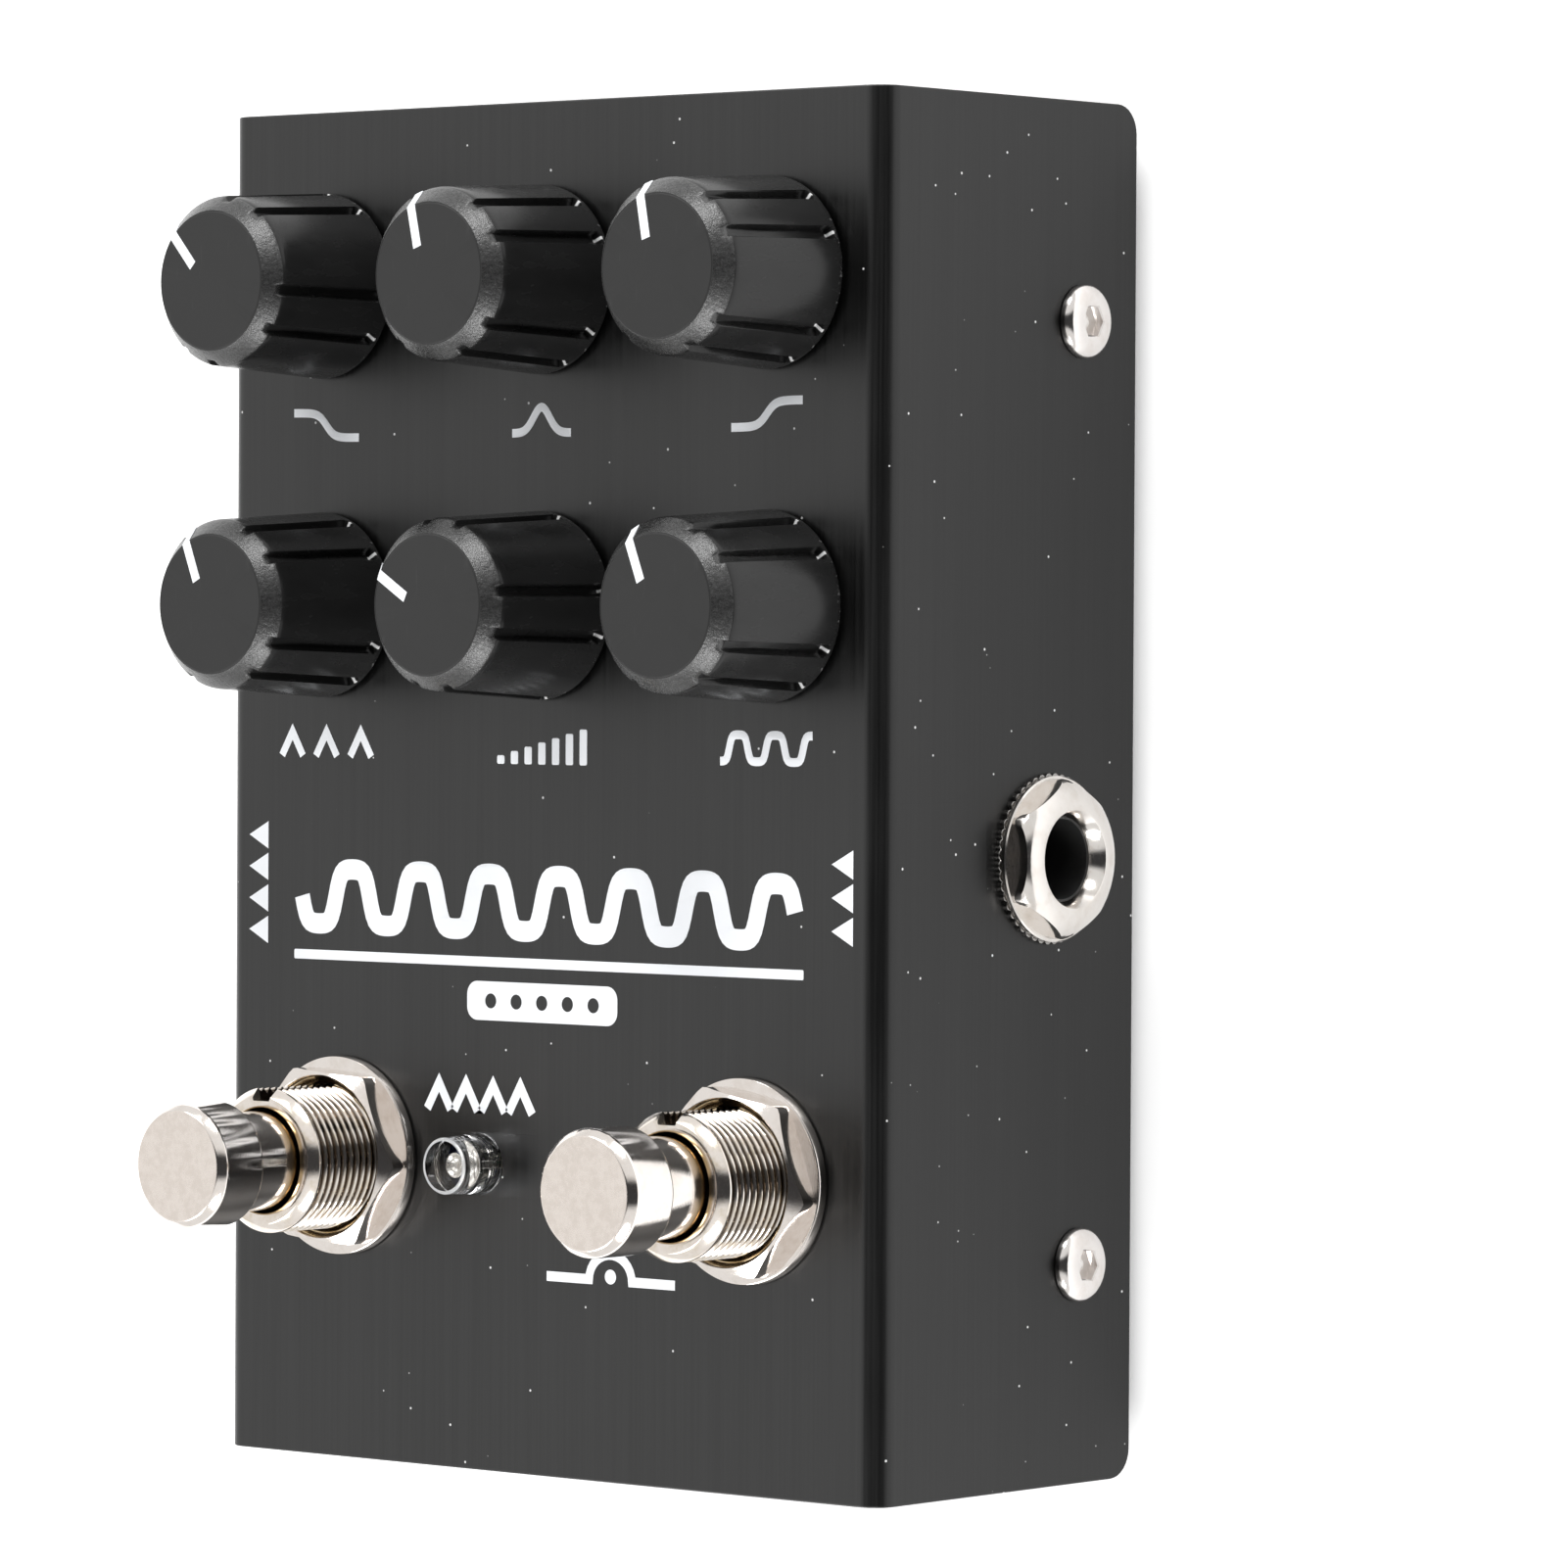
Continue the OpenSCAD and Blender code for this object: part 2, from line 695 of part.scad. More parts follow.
// Power jack, hanging under the main board behind the hole in the far wall
module dc_jack() {
    color("#1d1d1e") difference() {
        translate([-dc_w / 2, dc_front_y - dc_l, main_board_z - dc_h]) cube([dc_w, dc_l, dc_h]);
        translate([0, dc_front_y + cut, dc_z]) rotate([90, 0, 0])
            cylinder(h = dc_bore_l + cut, r = dc_bore_r);
        translate([0, dc_front_y - dc_bore_l + cut, dc_z]) rotate([90, 0, 0])
            cylinder(h = dc_l, r = dc_tail_r);
        translate([-0.9, dc_front_y - 9, main_board_z - dc_h - cut])
            cube([1.8, 6, dc_h - dc_axis_drop - dc_bore_r + 0.4 + cut]);
    }
}

module dc_jack_pin() {
    pin_l = dc_bore_l - 0.5;
    color("silver") translate([0, dc_front_y - 0.5, dc_z]) rotate([90, 0, 0]) union() {
        cylinder(h = pin_l, r = dc_pin_r);
        cylinder(h = dc_l - 1, r = dc_tail_r);
    }
}

module dc_jack_spring() {
    color("#c8b277") translate([-0.8, dc_front_y - 8.8, dc_z - dc_bore_r - 0.8])
        cube([1.6, 5.6, 0.4]);
}

// Boards
module main_board() {
    color("#1d5a34") translate([-main_board_w / 2, main_board_y0, main_board_z])
        cube([main_board_w, main_board_y1 - main_board_y0, board_t]);
}

module switch_board() {
    color("#1d5a34")
        translate([-switch_board_w / 2, switch_y - switch_board_l / 2, switch_board_z])
            cube([switch_board_w, switch_board_l, board_t]);
}

// Route through four control points, straight for a short way at both ends
function lead_route(ends, steps = 12) =
    let (straight = [0, 0, 0.6],
         middle = [ends[0] + straight, ends[1], ends[2], ends[3] - straight])
    concat([ends[0]], [for (t = [0 : steps]) bezier(middle, t / steps)], [ends[3]]);

module board_wires() {
    wires = 8;
    step = 1.27;
    r = 0.55;
    start_y = switch_y + switch_board_l / 2 - 1.5;
    end_y = main_board_y0 + 2.5;
    low = switch_board_z + board_t;
    color("#b04030") for (i = [0 : wires - 1]) {
        x = (i - (wires - 1) / 2) * step;
        wire(lead_route([[x, start_y, low], [x, start_y, low + 9],
                         [x, end_y, main_board_z - 11], [x, end_y, main_board_z]]), r);
    }
}

module jack_wires() {
    r = 0.55;
    lug_x = case_w / 2 - sheet_t - jack_body_l - 1.2;
    color("#35383c") both_sides() for (y = [-4, 4]) {
        start = [lug_x, jack_y + y, jack_z + contact_t / 2];
        top = [lug_x + y / 6, main_board_y0 + 2, main_board_z];
        wire(lead_route([start, start + [0, 0, 4], top - [0, 0, 5], top]), r);
    }
}

// Parts on the underside of the main board
chips = [[-19, 28], [0, 28], [19, 28]];
chip_size = [9.6, 6.4, 3.3];
chip_gap = 0.5;
chip_legs = 4;
leg_step = 2.54;

module op_amps() {
    color("#202124") for (p = chips)
        translate([p[0] - chip_size[0] / 2, p[1] - chip_size[1] / 2,
                   main_board_z - chip_gap - chip_size[2]])
            cube(chip_size);
}

module op_amp_legs() {
    leg_w = 0.5;
    leg_h = 2.2;
    color("silver") for (p = chips, i = [0 : chip_legs - 1], s = [-1, 1])
        translate([p[0] + (i - (chip_legs - 1) / 2) * leg_step, p[1] + s * (chip_size[1] / 2 + leg_w / 2),
                   main_board_z - leg_h / 2])
            cube([leg_w, leg_w, leg_h], center = true);
}

module electrolytic_capacitors() {
    can_r = 3.15;
    can_h = 11;
    color("#22262b") both_sides() for (p = [[12, 46], [20, 46], [27, 12]])
        translate([p[0], p[1], main_board_z - can_h]) difference() {
            cylinder(h = can_h, r = can_r);
            translate([0, 0, 1.2]) ring(can_r + cut, can_r - 0.25, 0.6);
        }
}

module film_capacitors() {
    size = [7.2, 2.6, 6.2];
    step = 9;
    color("#a8382c") for (i = [-3 : 3])
        translate([i * step - size[0] / 2, 18, main_board_z - size[2]]) cube(size);
}

module resistors() {
    body_r = 1.1;
    body_l = 6;
    lead_r = 0.3;
    span = 9;
    step_x = 11.5;
    color("#c9b48a") for (i = [-2 : 2], y = [22.5, 33.5, 36.5])
        translate([i * step_x, y, main_board_z - body_r]) rotate([0, 90, 0]) union() {
            cylinder(h = body_l, r = body_r, center = true);
            cylinder(h = span, r = lead_r, center = true);
        }
}

cover();
base_tray();
clinch_nuts();
cover_screws();
rubber_feet();
knob_low();
knob_mid();
knob_high();
knob_boost();
knob_level();
knob_drive();
pot_shaft_low();
pot_shaft_mid();
pot_shaft_high();
pot_shaft_boost();
pot_shaft_level();
pot_shaft_drive();
pot_low();
pot_mid();
pot_high();
pot_boost();
pot_level();
pot_drive();
pot_nuts();
pot_washers();
pot_pins();
boost_switch_barrel();
bypass_switch_barrel();
boost_switch_housing();
bypass_switch_housing();
boost_plunger();
bypass_plunger();
boost_return_spring();
bypass_return_spring();
switch_nuts();
switch_washers();
switch_lugs();
led_boost();
led_bypass();
led_leads();
input_jack();
output_jack();
input_jack_contacts();
output_jack_contacts();
jack_nuts();
jack_washers();
dc_jack();
dc_jack_pin();
dc_jack_spring();
main_board();
switch_board();
board_wires();
jack_wires();
op_amps();
op_amp_legs();
electrolytic_capacitors();
film_capacitors();
resistors();
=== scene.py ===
"""Looks of a guitar effects pedal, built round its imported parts.

Everything is in metres, in the parts' own frame: +Z out of the control face, +Y towards the far end
and +X towards the input jack. Each piece that replaces a part takes its place from that part's box.
"""

import json
import math

import bmesh
import bpy
from mathutils import Matrix, Vector


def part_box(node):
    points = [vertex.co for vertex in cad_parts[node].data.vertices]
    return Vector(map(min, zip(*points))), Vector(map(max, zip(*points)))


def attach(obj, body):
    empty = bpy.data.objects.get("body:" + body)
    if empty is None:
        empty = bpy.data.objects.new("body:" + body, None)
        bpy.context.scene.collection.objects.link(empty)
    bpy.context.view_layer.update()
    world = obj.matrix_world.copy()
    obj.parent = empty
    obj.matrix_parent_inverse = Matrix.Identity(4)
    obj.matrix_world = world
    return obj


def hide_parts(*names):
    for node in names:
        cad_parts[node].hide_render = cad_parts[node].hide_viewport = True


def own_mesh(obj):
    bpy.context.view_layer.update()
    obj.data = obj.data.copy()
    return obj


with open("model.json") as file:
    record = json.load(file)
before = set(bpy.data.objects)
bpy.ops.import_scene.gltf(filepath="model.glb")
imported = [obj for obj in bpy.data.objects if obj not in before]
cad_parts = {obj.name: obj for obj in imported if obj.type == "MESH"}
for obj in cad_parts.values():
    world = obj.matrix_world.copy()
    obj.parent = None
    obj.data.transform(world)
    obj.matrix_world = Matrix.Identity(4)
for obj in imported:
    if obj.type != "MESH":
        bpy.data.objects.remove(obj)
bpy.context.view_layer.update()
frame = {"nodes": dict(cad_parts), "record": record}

MM = 0.001
TURN = 2 * math.pi

# Case
COVER_LOW, COVER_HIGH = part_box("cover")
TRAY_LOW, TRAY_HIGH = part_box("base_tray")
FACE = COVER_HIGH.z
SHEET = 1.5 * MM
FOLD_R = 2 * MM
FOLD_ARC = FOLD_R * TURN / 4
CORNER_R = 2.4 * MM
FACE_FLAT = COVER_HIGH.x - FOLD_R
EDGE = 0.12 * MM
# Painted shade: share of its tone that the cover's side walls lose against its face, so they come
# out darker as the light falls
FLANK_SHADE = 0.43

# Controls: the knob's name, and the angle its pointer is left at, from +X
KNOB_TURNS = {"low": 138, "mid": 109, "high": 107, "boost": 118, "level": 155, "drive": 118}
SWITCHES = {"boost": -1, "bypass": 1}
BARREL_R = 6 * MM
BARREL_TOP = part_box("boost_switch_barrel")[1].z - FACE
THREAD_TOP = BARREL_TOP - 0.8 * MM


def rad(degrees):
    return math.radians(degrees)


# ---------------------------------------------------------------- shading


class Field:
    """A value that changes over a surface. Python's operators on it add Math nodes."""

    def __init__(self, shading, socket):
        self.shading = shading
        self.socket = socket

    def math(self, operation, *others):
        return self.shading.node("ShaderNodeMath", {"operation": operation}, [self, *others])

    def __add__(self, other):
        return self.math("ADD", other)

    def __mul__(self, other):
        return self.math("MULTIPLY", other)

    def __sub__(self, other):
        return self.math("SUBTRACT", other)

    def __rsub__(self, other):
        return self.shading.node("ShaderNodeMath", {"operation": "SUBTRACT"}, [other, self])

    def __truediv__(self, other):
        return self.math("DIVIDE", other)

    def __pow__(self, other):
        return self.math("POWER", other)

    def __abs__(self):
        return self.math("ABSOLUTE")

    __radd__ = __add__
    __rmul__ = __mul__


class Shading:
    """A node tree and the ways in which nodes are added to it."""

    def __init__(self, owner):
        owner.use_nodes = True
        self.tree = owner.node_tree

    def node(self, kind, settings=None, inputs=(), output=0):
        """Adds a node: its settings first, then the values or links of its sockets."""
        made = self.tree.nodes.new(kind)
        for name, value in (settings or {}).items():
            setattr(made, name, value)
        for key, value in inputs.items() if isinstance(inputs, dict) else enumerate(inputs):
            self.put(made.inputs[key], value)
        return Field(self, made.outputs[output])

    def put(self, socket, value):
        if isinstance(value, Field):
            self.tree.links.new(value.socket, socket)
        else:
            socket.default_value = value

    def split(self, vector):
        """The three numbers of a vector."""
        first = self.node("ShaderNodeSeparateXYZ", None, [vector])
        return [Field(self, socket) for socket in first.socket.node.outputs]

    def scaled(self, vector, by):
        return self.node("ShaderNodeVectorMath", {"operation": "MULTIPLY"}, [vector, by])

    def dot(self, vector, other):
        settings = {"operation": "DOT_PRODUCT"}
        return self.node("ShaderNodeVectorMath", settings, [vector, other], "Value")

    def noise(self, vector, size, detail=2.0, roughness=0.5, stretch=(1, 1, 1)):
        """Cloudy values round 0.5, whose patches are about size metres across, times stretch."""
        squeezed = self.scaled(vector, [1 / (size * s) for s in stretch])
        return self.node(
            "ShaderNodeTexNoise",
            None,
            {"Vector": squeezed, "Scale": 1.0, "Detail": detail, "Roughness": roughness},
        )

    def specks(self, vector, spacing, radius, share):
        """1 on round specks, and 0 elsewhere. Share of the cells, spacing apart, hold one."""
        cells = self.node(
            "ShaderNodeTexVoronoi",
            {"voronoi_dimensions": "3D", "feature": "F1"},
            {"Vector": self.scaled(vector, [1 / spacing] * 3), "Scale": 1.0},
            "Distance",
        )
        colour = Field(self, cells.socket.node.outputs["Color"])
        chosen = self.split(colour)[0].math("LESS_THAN", share)
        return self.ramp(cells, radius / spacing, radius / spacing * 0.6) * chosen

    def ramp(self, value, start, end, low=0.0, high=1.0):
        """Goes smoothly from low to high as value goes from start to end."""
        return self.node(
            "ShaderNodeMapRange",
            {"interpolation_type": "SMOOTHSTEP"},
            [value, start, end, low, high],
        )

    def mix(self, mask, first, second):
        """Colour that goes from first to second as mask goes from 0 to 1."""
        return self.node(
            "ShaderNodeMix",
            {"data_type": "RGBA"},
            {0: mask, 6: rgba(first), 7: rgba(second)},
            2,
        )


class Finish(Shading):
    """A material: what is the same all over is set on its shader, and the rest comes from nodes."""

    def __init__(self, name, **constants):
        self.material = bpy.data.materials.new(name)
        super().__init__(self.material)
        self.shader = self.tree.nodes["Principled BSDF"]
        for socket, value in constants.items():
            self.set(socket.replace("_", " "), value)

    def set(self, socket, value):
        self.put(self.shader.inputs[socket], rgba(value) if socket.endswith("Color") else value)

    def place(self):
        """Place on the piece, in the piece's own frame."""
        return self.node("ShaderNodeTexCoord", output="Object")

    def turned_place(self):
        """Place on a turned piece, from the foot of its own axis."""
        return self.node("ShaderNodeAttribute", {"attribute_name": "turned"}, output="Vector")

    def bump(self, height, depth, strength=1.0):
        """Raises the surface by up to depth metres where height is 1."""
        inputs = {"Strength": strength, "Distance": depth, "Height": height}
        self.set("Normal", self.node("ShaderNodeBump", None, inputs))

    def done(self, colour, roughness, *bump):
        self.set("Base Color", colour)
        self.set("Roughness", roughness)
        self.bump(*bump)
        return self.material


def rgba(colour):
    """A link stays as it is, and a grey or an RGB colour gets its missing channels."""
    if isinstance(colour, Field):
        return colour
    if isinstance(colour, (int, float)):
        colour = (colour, colour, colour)
    return (*colour[:3], 1.0)


# ---------------------------------------------------------------- finishes

# Grip grooves of a knob: pairs at four sides, the angles in degrees
GROOVE_PAIR = 29
GROOVE_TURN = 20
LEDGE_Z = 0.6 * MM

def anodised(name, tone):
    """Brushed and dyed aluminium sheet. The brushing runs along Y, and a little dust lies on it. The
    side walls past the fold are painted darker, as shade.
    """
    f = Finish(name)
    place = f.place()
    brushing = f.noise(place, 0.22 * MM, 3, 0.6, (1, 130, 1))
    strands = f.noise(place, 0.9 * MM, 2, 0.5, (1, 60, 1))
    clouds = f.noise(place, 14 * MM, 2)
    dust = f.specks(place, 2.2 * MM, 0.13 * MM, 0.55)
    tint = f.ramp(brushing * 0.6 + strands * 0.25 + clouds * 0.15, 0.3, 0.7)
    # Painted shade: the side walls past the fold are darkened by FLANK_SHADE
    painted_wall_shade = f.ramp(abs(f.split(place)[0]), COVER_HIGH.x - FOLD_R, COVER_HIGH.x - 0.2 * MM)
    metal = f.mix(tint, tone * 0.94, tone * 1.06)
    metal = f.mix(painted_wall_shade * FLANK_SHADE, metal, 0.0)
    f.set("Base Color", f.mix(dust, metal, 0.62))
    f.set("Metallic", 1 - dust)
    f.set("Roughness", f.ramp(brushing * 0.7 + clouds * 0.3, 0.3, 0.7, 0.3, 0.4) + dust * 0.4)
    f.bump(brushing + dust * 3, 0.003 * MM, 0.4)
    return f.material


def knob_disc():
    """Satin front of a knob, faintly scuffed."""
    f = Finish("knob_disc_satin", Specular_IOR_Level=0.31)
    place = f.place()
    grit = f.noise(place, 0.12 * MM, 2, 0.6)
    clouds = f.noise(place, 3 * MM, 3)
    scuffs = f.ramp(f.noise(place, 0.5 * MM, 2, 0.5, (1, 9, 1)), 0.66, 0.74)
    return f.done(
        f.mix(scuffs * 0.4 + clouds * 0.2, 0.018, 0.034),
        f.ramp(clouds, 0.3, 0.7, 0.4, 0.5),
        grit, 0.006 * MM, 0.5,
    )


def knob_bevel():
    """Spark-eroded bevel of a knob: coarse glittering grain."""
    f = Finish("knob_bevel_grain", Specular_IOR_Level=0.68)
    place = f.place()
    grain = f.noise(place, 0.33 * MM, 4, 0.65)
    fine = f.noise(place, 0.1 * MM, 2, 0.6)
    return f.done(
        f.mix(f.ramp(grain, 0.35, 0.7), 0.01, 0.026),
        f.ramp(fine, 0.3, 0.7, 0.2, 0.34),
        grain + fine * 0.3, 0.06 * MM, 0.8,
    )


def knob_side():
    """Polished side of a knob, with faint flow marks. Its skirt's foot is rougher and painted
    lighter as a highlight, and painted glints sit where the grooves end at the ledge.
    """
    f = Finish("knob_side_gloss", Specular_IOR_Level=0.26)
    place = f.place()
    flow = f.noise(place, 1.4 * MM, 3, 0.5, (1, 1, 3))
    fine = f.noise(place, 0.15 * MM, 2)
    spot = f.turned_place()
    x, y, z = f.split(spot)
    # Painted highlight along the skirt's foot, broken into patches; the foot is also rougher
    highlight_patches = f.ramp(f.noise(spot, 0.5 * MM, 3, 0.6), 0.6, 0.68)
    edge = f.ramp(z, 0.5 * MM, 0.15 * MM) * highlight_patches
    # Painted glints: near-white specks where each groove ends at the ledge
    around = y.math("ARCTAN2", x) * (360 / TURN) - GROOVE_TURN
    from_pair = abs((around + 45).math("FLOORED_MODULO", 90) - 45)
    painted_glints = f.ramp(abs(from_pair - GROOVE_PAIR / 2), 1.3, 0.7)
    painted_glints *= f.ramp(abs(z - LEDGE_Z), 0.24 * MM, 0.14 * MM)
    return f.done(
        f.mix(painted_glints, f.mix(edge, f.mix(flow, 0.009, 0.016), 0.16), 0.9),
        f.ramp(flow, 0.3, 0.7, 0.2, 0.3) + edge * 0.3,
        flow * 0.7 + fine * 0.3, 0.012 * MM, 0.5,
    )


def paint(name, tone):
    """Screen-printed paint: nearly even, with a few pinholes and a soft tooth."""
    f = Finish(name, Specular_IOR_Level=0.4)
    place = f.place()
    tooth = f.noise(place, 0.12 * MM, 2, 0.6)
    pinholes = f.specks(place, 2.2 * MM, 0.09 * MM, 0.2)
    worn = f.mix(f.noise(place, 2 * MM, 2), [c * 0.95 for c in tone], tone)
    return f.done(
        f.mix(pinholes, worn, 0.2),
        f.ramp(tooth, 0.3, 0.7, 0.42, 0.58),
        tooth - pinholes, 0.006 * MM, 0.6,
    )


def turned_metal(name, tone, shade, rough, ring=0.18 * MM, painted_band=None):
    """Plated metal with the fine rings of the lathe, and shade where plating is thin.

    A painted band, of shade or of reflection, is given as (where it starts and is full along the
    axis, the same for the radius, its colour).
    """
    f = Finish(name, Metallic=1.0)
    spot = f.turned_place()
    x, y, z = f.split(spot)
    radius = (x * x + y * y) ** 0.5
    rings = ((radius + z) * (TURN / ring)).math("SINE") * 0.5 + 0.5
    patches = f.noise(spot, 1.6 * MM, 3, 0.6)
    pits = f.noise(spot, 0.2 * MM, 2, 0.6)
    plate = f.mix(f.ramp(patches, 0.4, 0.75), tone, shade)
    # The painted band: shade in the thread, a golden reflection on the plunger's stem
    if painted_band:
        heights, radii, colour = painted_band
        plate = f.mix(f.ramp(z, *heights) * f.ramp(radius, *radii), plate, colour)
    return f.done(
        plate,
        f.ramp(patches * 0.5 + pits * 0.5, 0.35, 0.65, rough * 0.75, rough * 1.3),
        rings * 0.3 + pits * 0.7, 0.005 * MM, 0.5,
    )


def satin_cap():
    """Ground stainless cap of a footswitch: creamy, faintly mottled."""
    f = Finish("stainless_satin", Metallic=1.0)
    spot = f.turned_place()
    mottle = f.noise(spot, 0.8 * MM, 3, 0.6)
    fine = f.noise(spot, 0.1 * MM, 2, 0.6)
    return f.done(
        f.mix(f.ramp(mottle, 0.35, 0.68), (0.78, 0.71, 0.655), (0.71, 0.64, 0.585)),
        f.ramp(mottle * 0.6 + fine * 0.4, 0.35, 0.65, 0.22, 0.34),
        fine, 0.005 * MM, 0.6,
    )


def sheet_metal(name, tone, shade, rough=0.3, size=1.2 * MM):
    """Plain plated or tinned metal, unevenly bright."""
    f = Finish(name, Metallic=1.0)
    place = f.place()
    patches = f.noise(place, size, 3, 0.6)
    pits = f.noise(place, size * 0.15, 2, 0.6)
    return f.done(
        f.mix(f.ramp(patches, 0.35, 0.7), tone, shade),
        f.ramp(patches, 0.3, 0.7, rough * 0.8, rough * 1.3),
        pits, 0.008 * MM, 0.5,
    )


def moulded(name, tone, shade, rough=0.45, grit=0.18 * MM, depth=0.01 * MM):
    """Moulded plastic, rubber or lacquer with a fine tooth."""
    f = Finish(name)
    place = f.place()
    tooth = f.noise(place, grit, 3, 0.6)
    clouds = f.noise(place, grit * 18, 2)
    return f.done(
        f.mix(f.ramp(clouds * 0.6 + tooth * 0.4, 0.35, 0.65), tone, shade),
        f.ramp(tooth, 0.3, 0.7, rough * 0.85, rough * 1.15),
        tooth, depth, 0.6,
    )


def circuit_board():
    """Green solder mask over copper tracks, seen as slightly lighter lines, with tinned pads."""
    f = Finish("board_green_mask")
    place = f.place()
    x, y, z = f.split(place)
    track_step = 2.54 * MM
    wander = f.noise(place, 6 * MM, 2) * 2.2
    lines = ((x / track_step + wander) * TURN).math("SINE")
    tracks = f.ramp(lines, 0.35, 0.55)
    weave = f.noise(place, 0.3 * MM, 2)
    pads = f.specks(place, 2.9 * MM, 0.5 * MM, 0.35)
    mask = f.mix(tracks, (0.01, 0.07, 0.03), (0.02, 0.13, 0.05))
    f.set("Base Color", f.mix(pads, mask, (0.62, 0.6, 0.56)))
    f.set("Metallic", pads)
    f.set("Roughness", f.ramp(weave, 0.3, 0.7, 0.25, 0.36))
    f.bump(tracks * 0.7 + pads + weave * 0.2, 0.03 * MM, 0.7)
    return f.material


def clear_resin(name, clear, rough):
    """Water-clear resin of a light, with faint flow lines; its rim is less clear."""
    f = Finish(name, Transmission_Weight=clear, IOR=1.52, Base_Color=(0.97, 0.98, 1.0))
    ripple = f.noise(f.place(), 1.1 * MM, 2)
    f.set("Roughness", f.ramp(ripple, 0.4, 0.8, rough, rough + 0.04))
    f.bump(ripple, 0.01 * MM, 0.3)
    return f.material


WHITE = (0.88, 0.9, 0.93)
FINISHES = {
    "cover": anodised("black_anodised_cover", 0.062),
    "tray": anodised("black_anodised_tray", 0.05),
    "knob_disc": knob_disc(),
    "knob_bevel": knob_bevel(),
    "knob_side": knob_side(),
    "print": paint("white_print", WHITE),
    "nickel": turned_metal("nickel_bright", (0.76, 0.71, 0.67), (0.69, 0.63, 0.58), 0.1),
    "jack_nickel": turned_metal("nickel_jack", (0.66, 0.63, 0.6), (0.6, 0.56, 0.52), 0.14),
    # Nickel painted dark for the toothed washers: painted shade under the jack nuts
    "toothed": turned_metal("nickel_toothed", (0.3, 0.29, 0.28), (0.16, 0.15, 0.14), 0.22),
    "plunger": turned_metal(
        "nickel_plunger",
        (0.76, 0.71, 0.67),
        (0.69, 0.63, 0.58),
        0.1,
        # Painted golden reflection, darker than the plating, on the stem where it goes into the
        # barrel
        painted_band=(
            (BARREL_TOP + 1.8 * MM, BARREL_TOP + 0.3 * MM),
            (4.3 * MM, 4.15 * MM),
            (0.45, 0.34, 0.2),
        ),
    ),
    "thread": turned_metal(
        "nickel_thread",
        (0.76, 0.7, 0.645),
        (0.64, 0.56, 0.46),
        0.13,
        # Painted shade, near black, in the thread's valleys and down inside the bore
        painted_band=((THREAD_TOP, THREAD_TOP - 0.2 * MM), (5.94 * MM, 5.74 * MM), (0.07, 0.05, 0.033)),
    ),
    "brassy": turned_metal("nickel_brassy", (0.76, 0.65, 0.46), (0.6, 0.48, 0.3), 0.16),
    "screw": turned_metal("nickel_screw", (0.7, 0.67, 0.65), (0.64, 0.6, 0.57), 0.12),
    "stainless": satin_cap(),
    "zinc": sheet_metal("zinc_plate", (0.62, 0.63, 0.64), (0.5, 0.51, 0.52), 0.34),
    "tinned": sheet_metal("tinned", (0.72, 0.72, 0.7), (0.58, 0.58, 0.57), 0.28, 0.6 * MM),
    "brass": sheet_metal("brass_contact", (0.78, 0.6, 0.3), (0.66, 0.47, 0.2), 0.26, 0.8 * MM),
    "nickel_plain": sheet_metal("nickel_plain", (0.7, 0.68, 0.64), (0.58, 0.55, 0.5), 0.26),
    "spring": sheet_metal("spring_steel", (0.66, 0.66, 0.65), (0.5, 0.5, 0.5), 0.25, 0.5 * MM),
    "black_plastic": moulded("black_plastic", 0.012, 0.022),
    "blue_plastic": moulded("blue_plastic", (0.015, 0.06, 0.26), (0.03, 0.09, 0.32), 0.4),
    "rubber": moulded("foot_rubber", 0.014, 0.03, 0.75, 0.3 * MM, 0.04 * MM),
    "board": circuit_board(),
    "resin": clear_resin("clear_resin", 1.0, 0.01),
    "resin_edge": clear_resin("clear_resin_edge", 0.6, 0.2),
    "wire_red": moulded("wire_red", (0.42, 0.05, 0.03), (0.5, 0.08, 0.05), 0.35, 0.3 * MM),
    "wire_grey": moulded("wire_grey", 0.03, 0.05, 0.38, 0.3 * MM),
    "chip": moulded("chip_black", 0.014, 0.026, 0.6, 0.1 * MM, 0.02 * MM),
    "sleeve": moulded("can_sleeve", (0.012, 0.016, 0.022), (0.02, 0.026, 0.034), 0.3, 0.4 * MM),
    "film_red": moulded("film_red", (0.36, 0.04, 0.02), (0.46, 0.07, 0.04), 0.28, 0.5 * MM),
    "resistor": moulded("resistor_tan", (0.52, 0.4, 0.22), (0.6, 0.48, 0.3), 0.4, 0.3 * MM),
}


# ---------------------------------------------------------------- shapes


